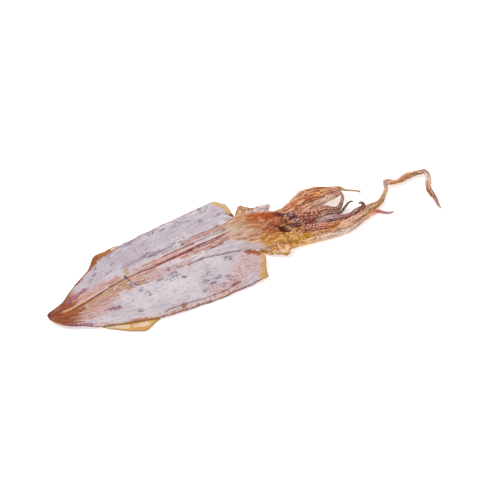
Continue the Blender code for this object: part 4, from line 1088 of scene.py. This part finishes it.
def make_sucker():
    """One sucker, 1 mm in radius: a short drum with an inset, sunk cup and a softened rim."""
    made = started("sucker", bpy.ops.mesh.primitive_cylinder_add, vertices=9, radius=SUCKER_RADIUS * MM,
                   depth=SUCKER_HEIGHT * MM, end_fill_type="NGON")
    bpy.ops.object.mode_set(mode="EDIT")
    bpy.ops.mesh.select_mode(type="FACE")
    bpy.ops.mesh.select_all(action="DESELECT")
    bpy.ops.object.mode_set(mode="OBJECT")
    for face in made.data.polygons:
        face.select = face.normal.z > 0.9
    bpy.ops.object.mode_set(mode="EDIT")
    for inwards, upwards in SUCKER_INSETS:
        bpy.ops.mesh.inset(thickness=inwards * MM, depth=upwards * MM)
    bpy.ops.object.mode_set(mode="OBJECT")
    for face in made.data.polygons:
        face.material_index = int(face.normal.z > 0.9 and face.center.xy.length < 0.2 * MM)
    made.data.materials.append(sucker_gristle("sucker_ring", "#C29A82"))
    # The cup's dark brown is painted shade in its sunk hollow
    made.data.materials.append(sucker_gristle("sucker_cup", "#5A2A20"))
    made.data.shade_smooth()
    return made


def add_suckers(arm, name, line, side, up_way, seed):
    """Sets a double row of suckers on an arm's upper face and joins them to it."""
    for material in sucker.data.materials:
        arm.data.materials.append(material)
    first, last = (share * len(line) * ARM_STEP for share in SUCKERS[name])
    copies = []
    while first < last:
        number = len(copies)
        row = min(len(line) - 1, int(first / ARM_STEP))
        half = line[row, 3]
        lean = SUCKER_LEAN if number % 2 else -SUCKER_LEAN
        copy = sucker.copy()
        copy.data = sucker.data.copy()
        bpy.context.scene.collection.objects.link(copy)
        off = lean * side[row] + ARM_FLATNESS * SUCKER_SUNK * up_way[row]
        copy.location = to_frame(line[row, :3] + half * off)
        copy.scale = [max(0.3, SUCKER_SIZE * half) * (1 + 0.5 * noise.noise((number * 1.7, seed, 0.5)))] * 3
        copy.rotation_euler = (up_way[row][1] * -0.6, lean * 0.8, number * 1.1)
        copies.append(copy)
        gap = 1 + 0.8 * noise.noise((number * 2.3, seed, 4.5))
        first += SUCKER_SPACING * max(0.4, half / 3.5) * 0.8 * gap
    bpy.ops.object.select_all(action="DESELECT")
    for piece in (*copies, arm):
        piece.select_set(True)
    bpy.context.view_layer.objects.active = arm
    bpy.ops.object.join()


sucker = make_sucker()

for arm_name in ARMS:
    line = arm_line(arm_name, ARM_STEP)
    side, up_way = arm_frames(line)
    seed = len(arm_name) + ord(arm_name[0])
    share, turn = shares(len(line), ARM_AROUND + 1)
    turn = turn * 2 * math.pi
    length = share * len(line) * ARM_STEP
    around = [AROUND * np.cos(turn), AROUND * np.sin(turn)]
    wrinkle = creased(length / WRINKLE_EVERY + seed, *(WRINKLES_AROUND * way for way in around))
    around_x, around_y = (SMALL_WRINKLES_AROUND * way for way in around)
    fine = creased(length / SMALL_WRINKLE_EVERY, around_x + seed, around_y)
    pinch = grain(length / PINCH_EVERY + seed, 1.5, 2.5)
    half = line[:, 3:] * (ARM_BARE + ARM_WRINKLES * wrinkle + ARM_SMALL_WRINKLES * fine + ARM_PINCH * pinch)
    flat = ARM_FLATNESS * (1 - CHANNEL_DEPTH * bump(np.cos(turn), CHANNEL_WIDTH) * (np.sin(turn) > 0))
    across, above = np.cos(turn), np.sin(turn) * flat
    if arm_name == "long_tentacle":
        above = above * np.interp(share, *zip(*TENTACLE_FLATNESS))
        roll = np.radians(np.interp(share, *zip(*TENTACLE_TWIST)))
        across, above = (across * np.cos(roll) - above * np.sin(roll),
                         across * np.sin(roll) + above * np.cos(roll))
    ring = line[:, None, :3] + (half * across)[:, :, None] * side[:, None]
    ring = ring + (half * above)[:, :, None] * up_way[:, None]
    ring[:, :, 2] = np.maximum(0, ring[:, :, 2])
    ring[0], ring[-1] = line[0, :3], line[-1, :3]
    marks = {
        "along": share,
        "flow": fibre_way(length, turn * line[:, 3:]),
        "edge": bump(np.sin(turn), 0.35),
        "fold": np.clip(0.65 * wrinkle + 0.45 * fine, 0, 1),
    }
    # The last point of each ring is its first one again
    for closed in (ring, marks["flow"]):
        closed[:, -1] = closed[:, 0]
    arm = skin(arm_name + "_arm", ring, marks, rolled=True)
    arm.data.materials.append(arm_flesh(arm_name))
    if arm_name in SUCKERS:
        add_suckers(arm, arm_name, line, side, up_way, seed)
    finish(arm)
bpy.data.objects.remove(sucker)

# The webs
# Thin skin joins the arms at their roots. It dried into pleats, clear and reddish between the upper arms and
# yellow ochre along the lower side.
WEBS = [
    ("upper_outer", "upper_inner", 0.85, ("#A8603E", "#C8906A", "#E0BCA0")),
    ("upper_inner", "upper_strip", 0.8, ("#984E36", "#B87850", "#DDB090")),
    ("upper_strip", "middle_hooked", 0.4, ("#6A342E", "#90524A", "#B08A88")),
    ("middle_hooked", "middle_dark", 0.65, ("#5A2A26", "#84483A", "#B89080")),
    ("middle_dark", "middle_curled", 0.6, ("#6A3A38", "#9A7478", "#BCA8B4")),
    ("middle_curled", "lower_inner", 0.55, ("#74342C", "#A05A48", "#C49A90")),
    ("lower_inner", "long_tentacle", 0.4, ("#9A5E2A", "#C08A40", "#D8B468")),
    ("long_tentacle", "short_tentacle", 0.36, ("#B07A34", "#CC9C4A", "#DCBE80")),
]
WEB_ROWS, WEB_COLUMNS = 90, 26
WEB_LENGTH, WEB_WIDTH = 50.0, 10.0
WEB_THICKNESS, WEB_EDGE, WEB_RIM = 1.0, 0.08, 0.04
# How many pleats, folds and small folds a web has along and across it
WEB_PLEATS, WEB_FOLDS, WEB_SMALL_FOLDS, WEB_PLEAT_HEIGHT = (2.5, 5.2), (5, 5.72), (14, 9), 0.55
WEB_SAG, WEB_TUCK = 0.6, 0.1

for first, second, reach, colours in WEBS:
    ends = []
    for name in (first, second):
        line = arm_line(name, ARM_STEP)
        at = np.linspace(0, reach, WEB_ROWS) * (len(line) - 1)
        ends.append(np.array([np.interp(at, range(len(line)), line[:, axis]) for axis in range(3)]).T)
    along, across = shares(WEB_ROWS, WEB_COLUMNS)
    lie = span_between(*ends, across)
    inside = np.sin(math.pi * across)
    pleats = grain(along * WEB_PLEATS[0] + len(first), across * WEB_PLEATS[1], 3.7) * 1.4
    fold = creased(along * WEB_FOLDS[0] + len(first), across * WEB_FOLDS[1], 6.7)
    fold = fold + 0.4 * creased(along * WEB_SMALL_FOLDS[0], across * WEB_SMALL_FOLDS[1], 1.7)
    lie[:, :, 2] += WEB_THICKNESS / 2 - WEB_SAG * inside + WEB_PLEAT_HEIGHT * (pleats + 1.3 * fold) * inside
    lie -= np.gradient(lie, axis=0) * (WEB_TUCK * inside * along**3 * WEB_ROWS)[:, :, None]
    # The pale mark lies on the raised pleats: a painted highlight on their crests
    marks = {"flow": fibre_way(along * WEB_LENGTH, across * WEB_WIDTH),
             "pale": np.clip(pleats * 0.7, 0, 1) * inside, "fold": np.clip(fold / 1.3, 0, 1),
             "rim": 0.6 * rise((along - 1 + WEB_RIM) / WEB_RIM)}
    web = skin(f"web_{first}_{second}", lie, marks)
    thicken(web, WEB_THICKNESS, 0.5, np.clip((1 - along) / WEB_EDGE, 0, 1) ** 0.5)
    close_up(web)
    finish(web, flap_skin(f"web_skin_{first}_{second}", *colours), outer)
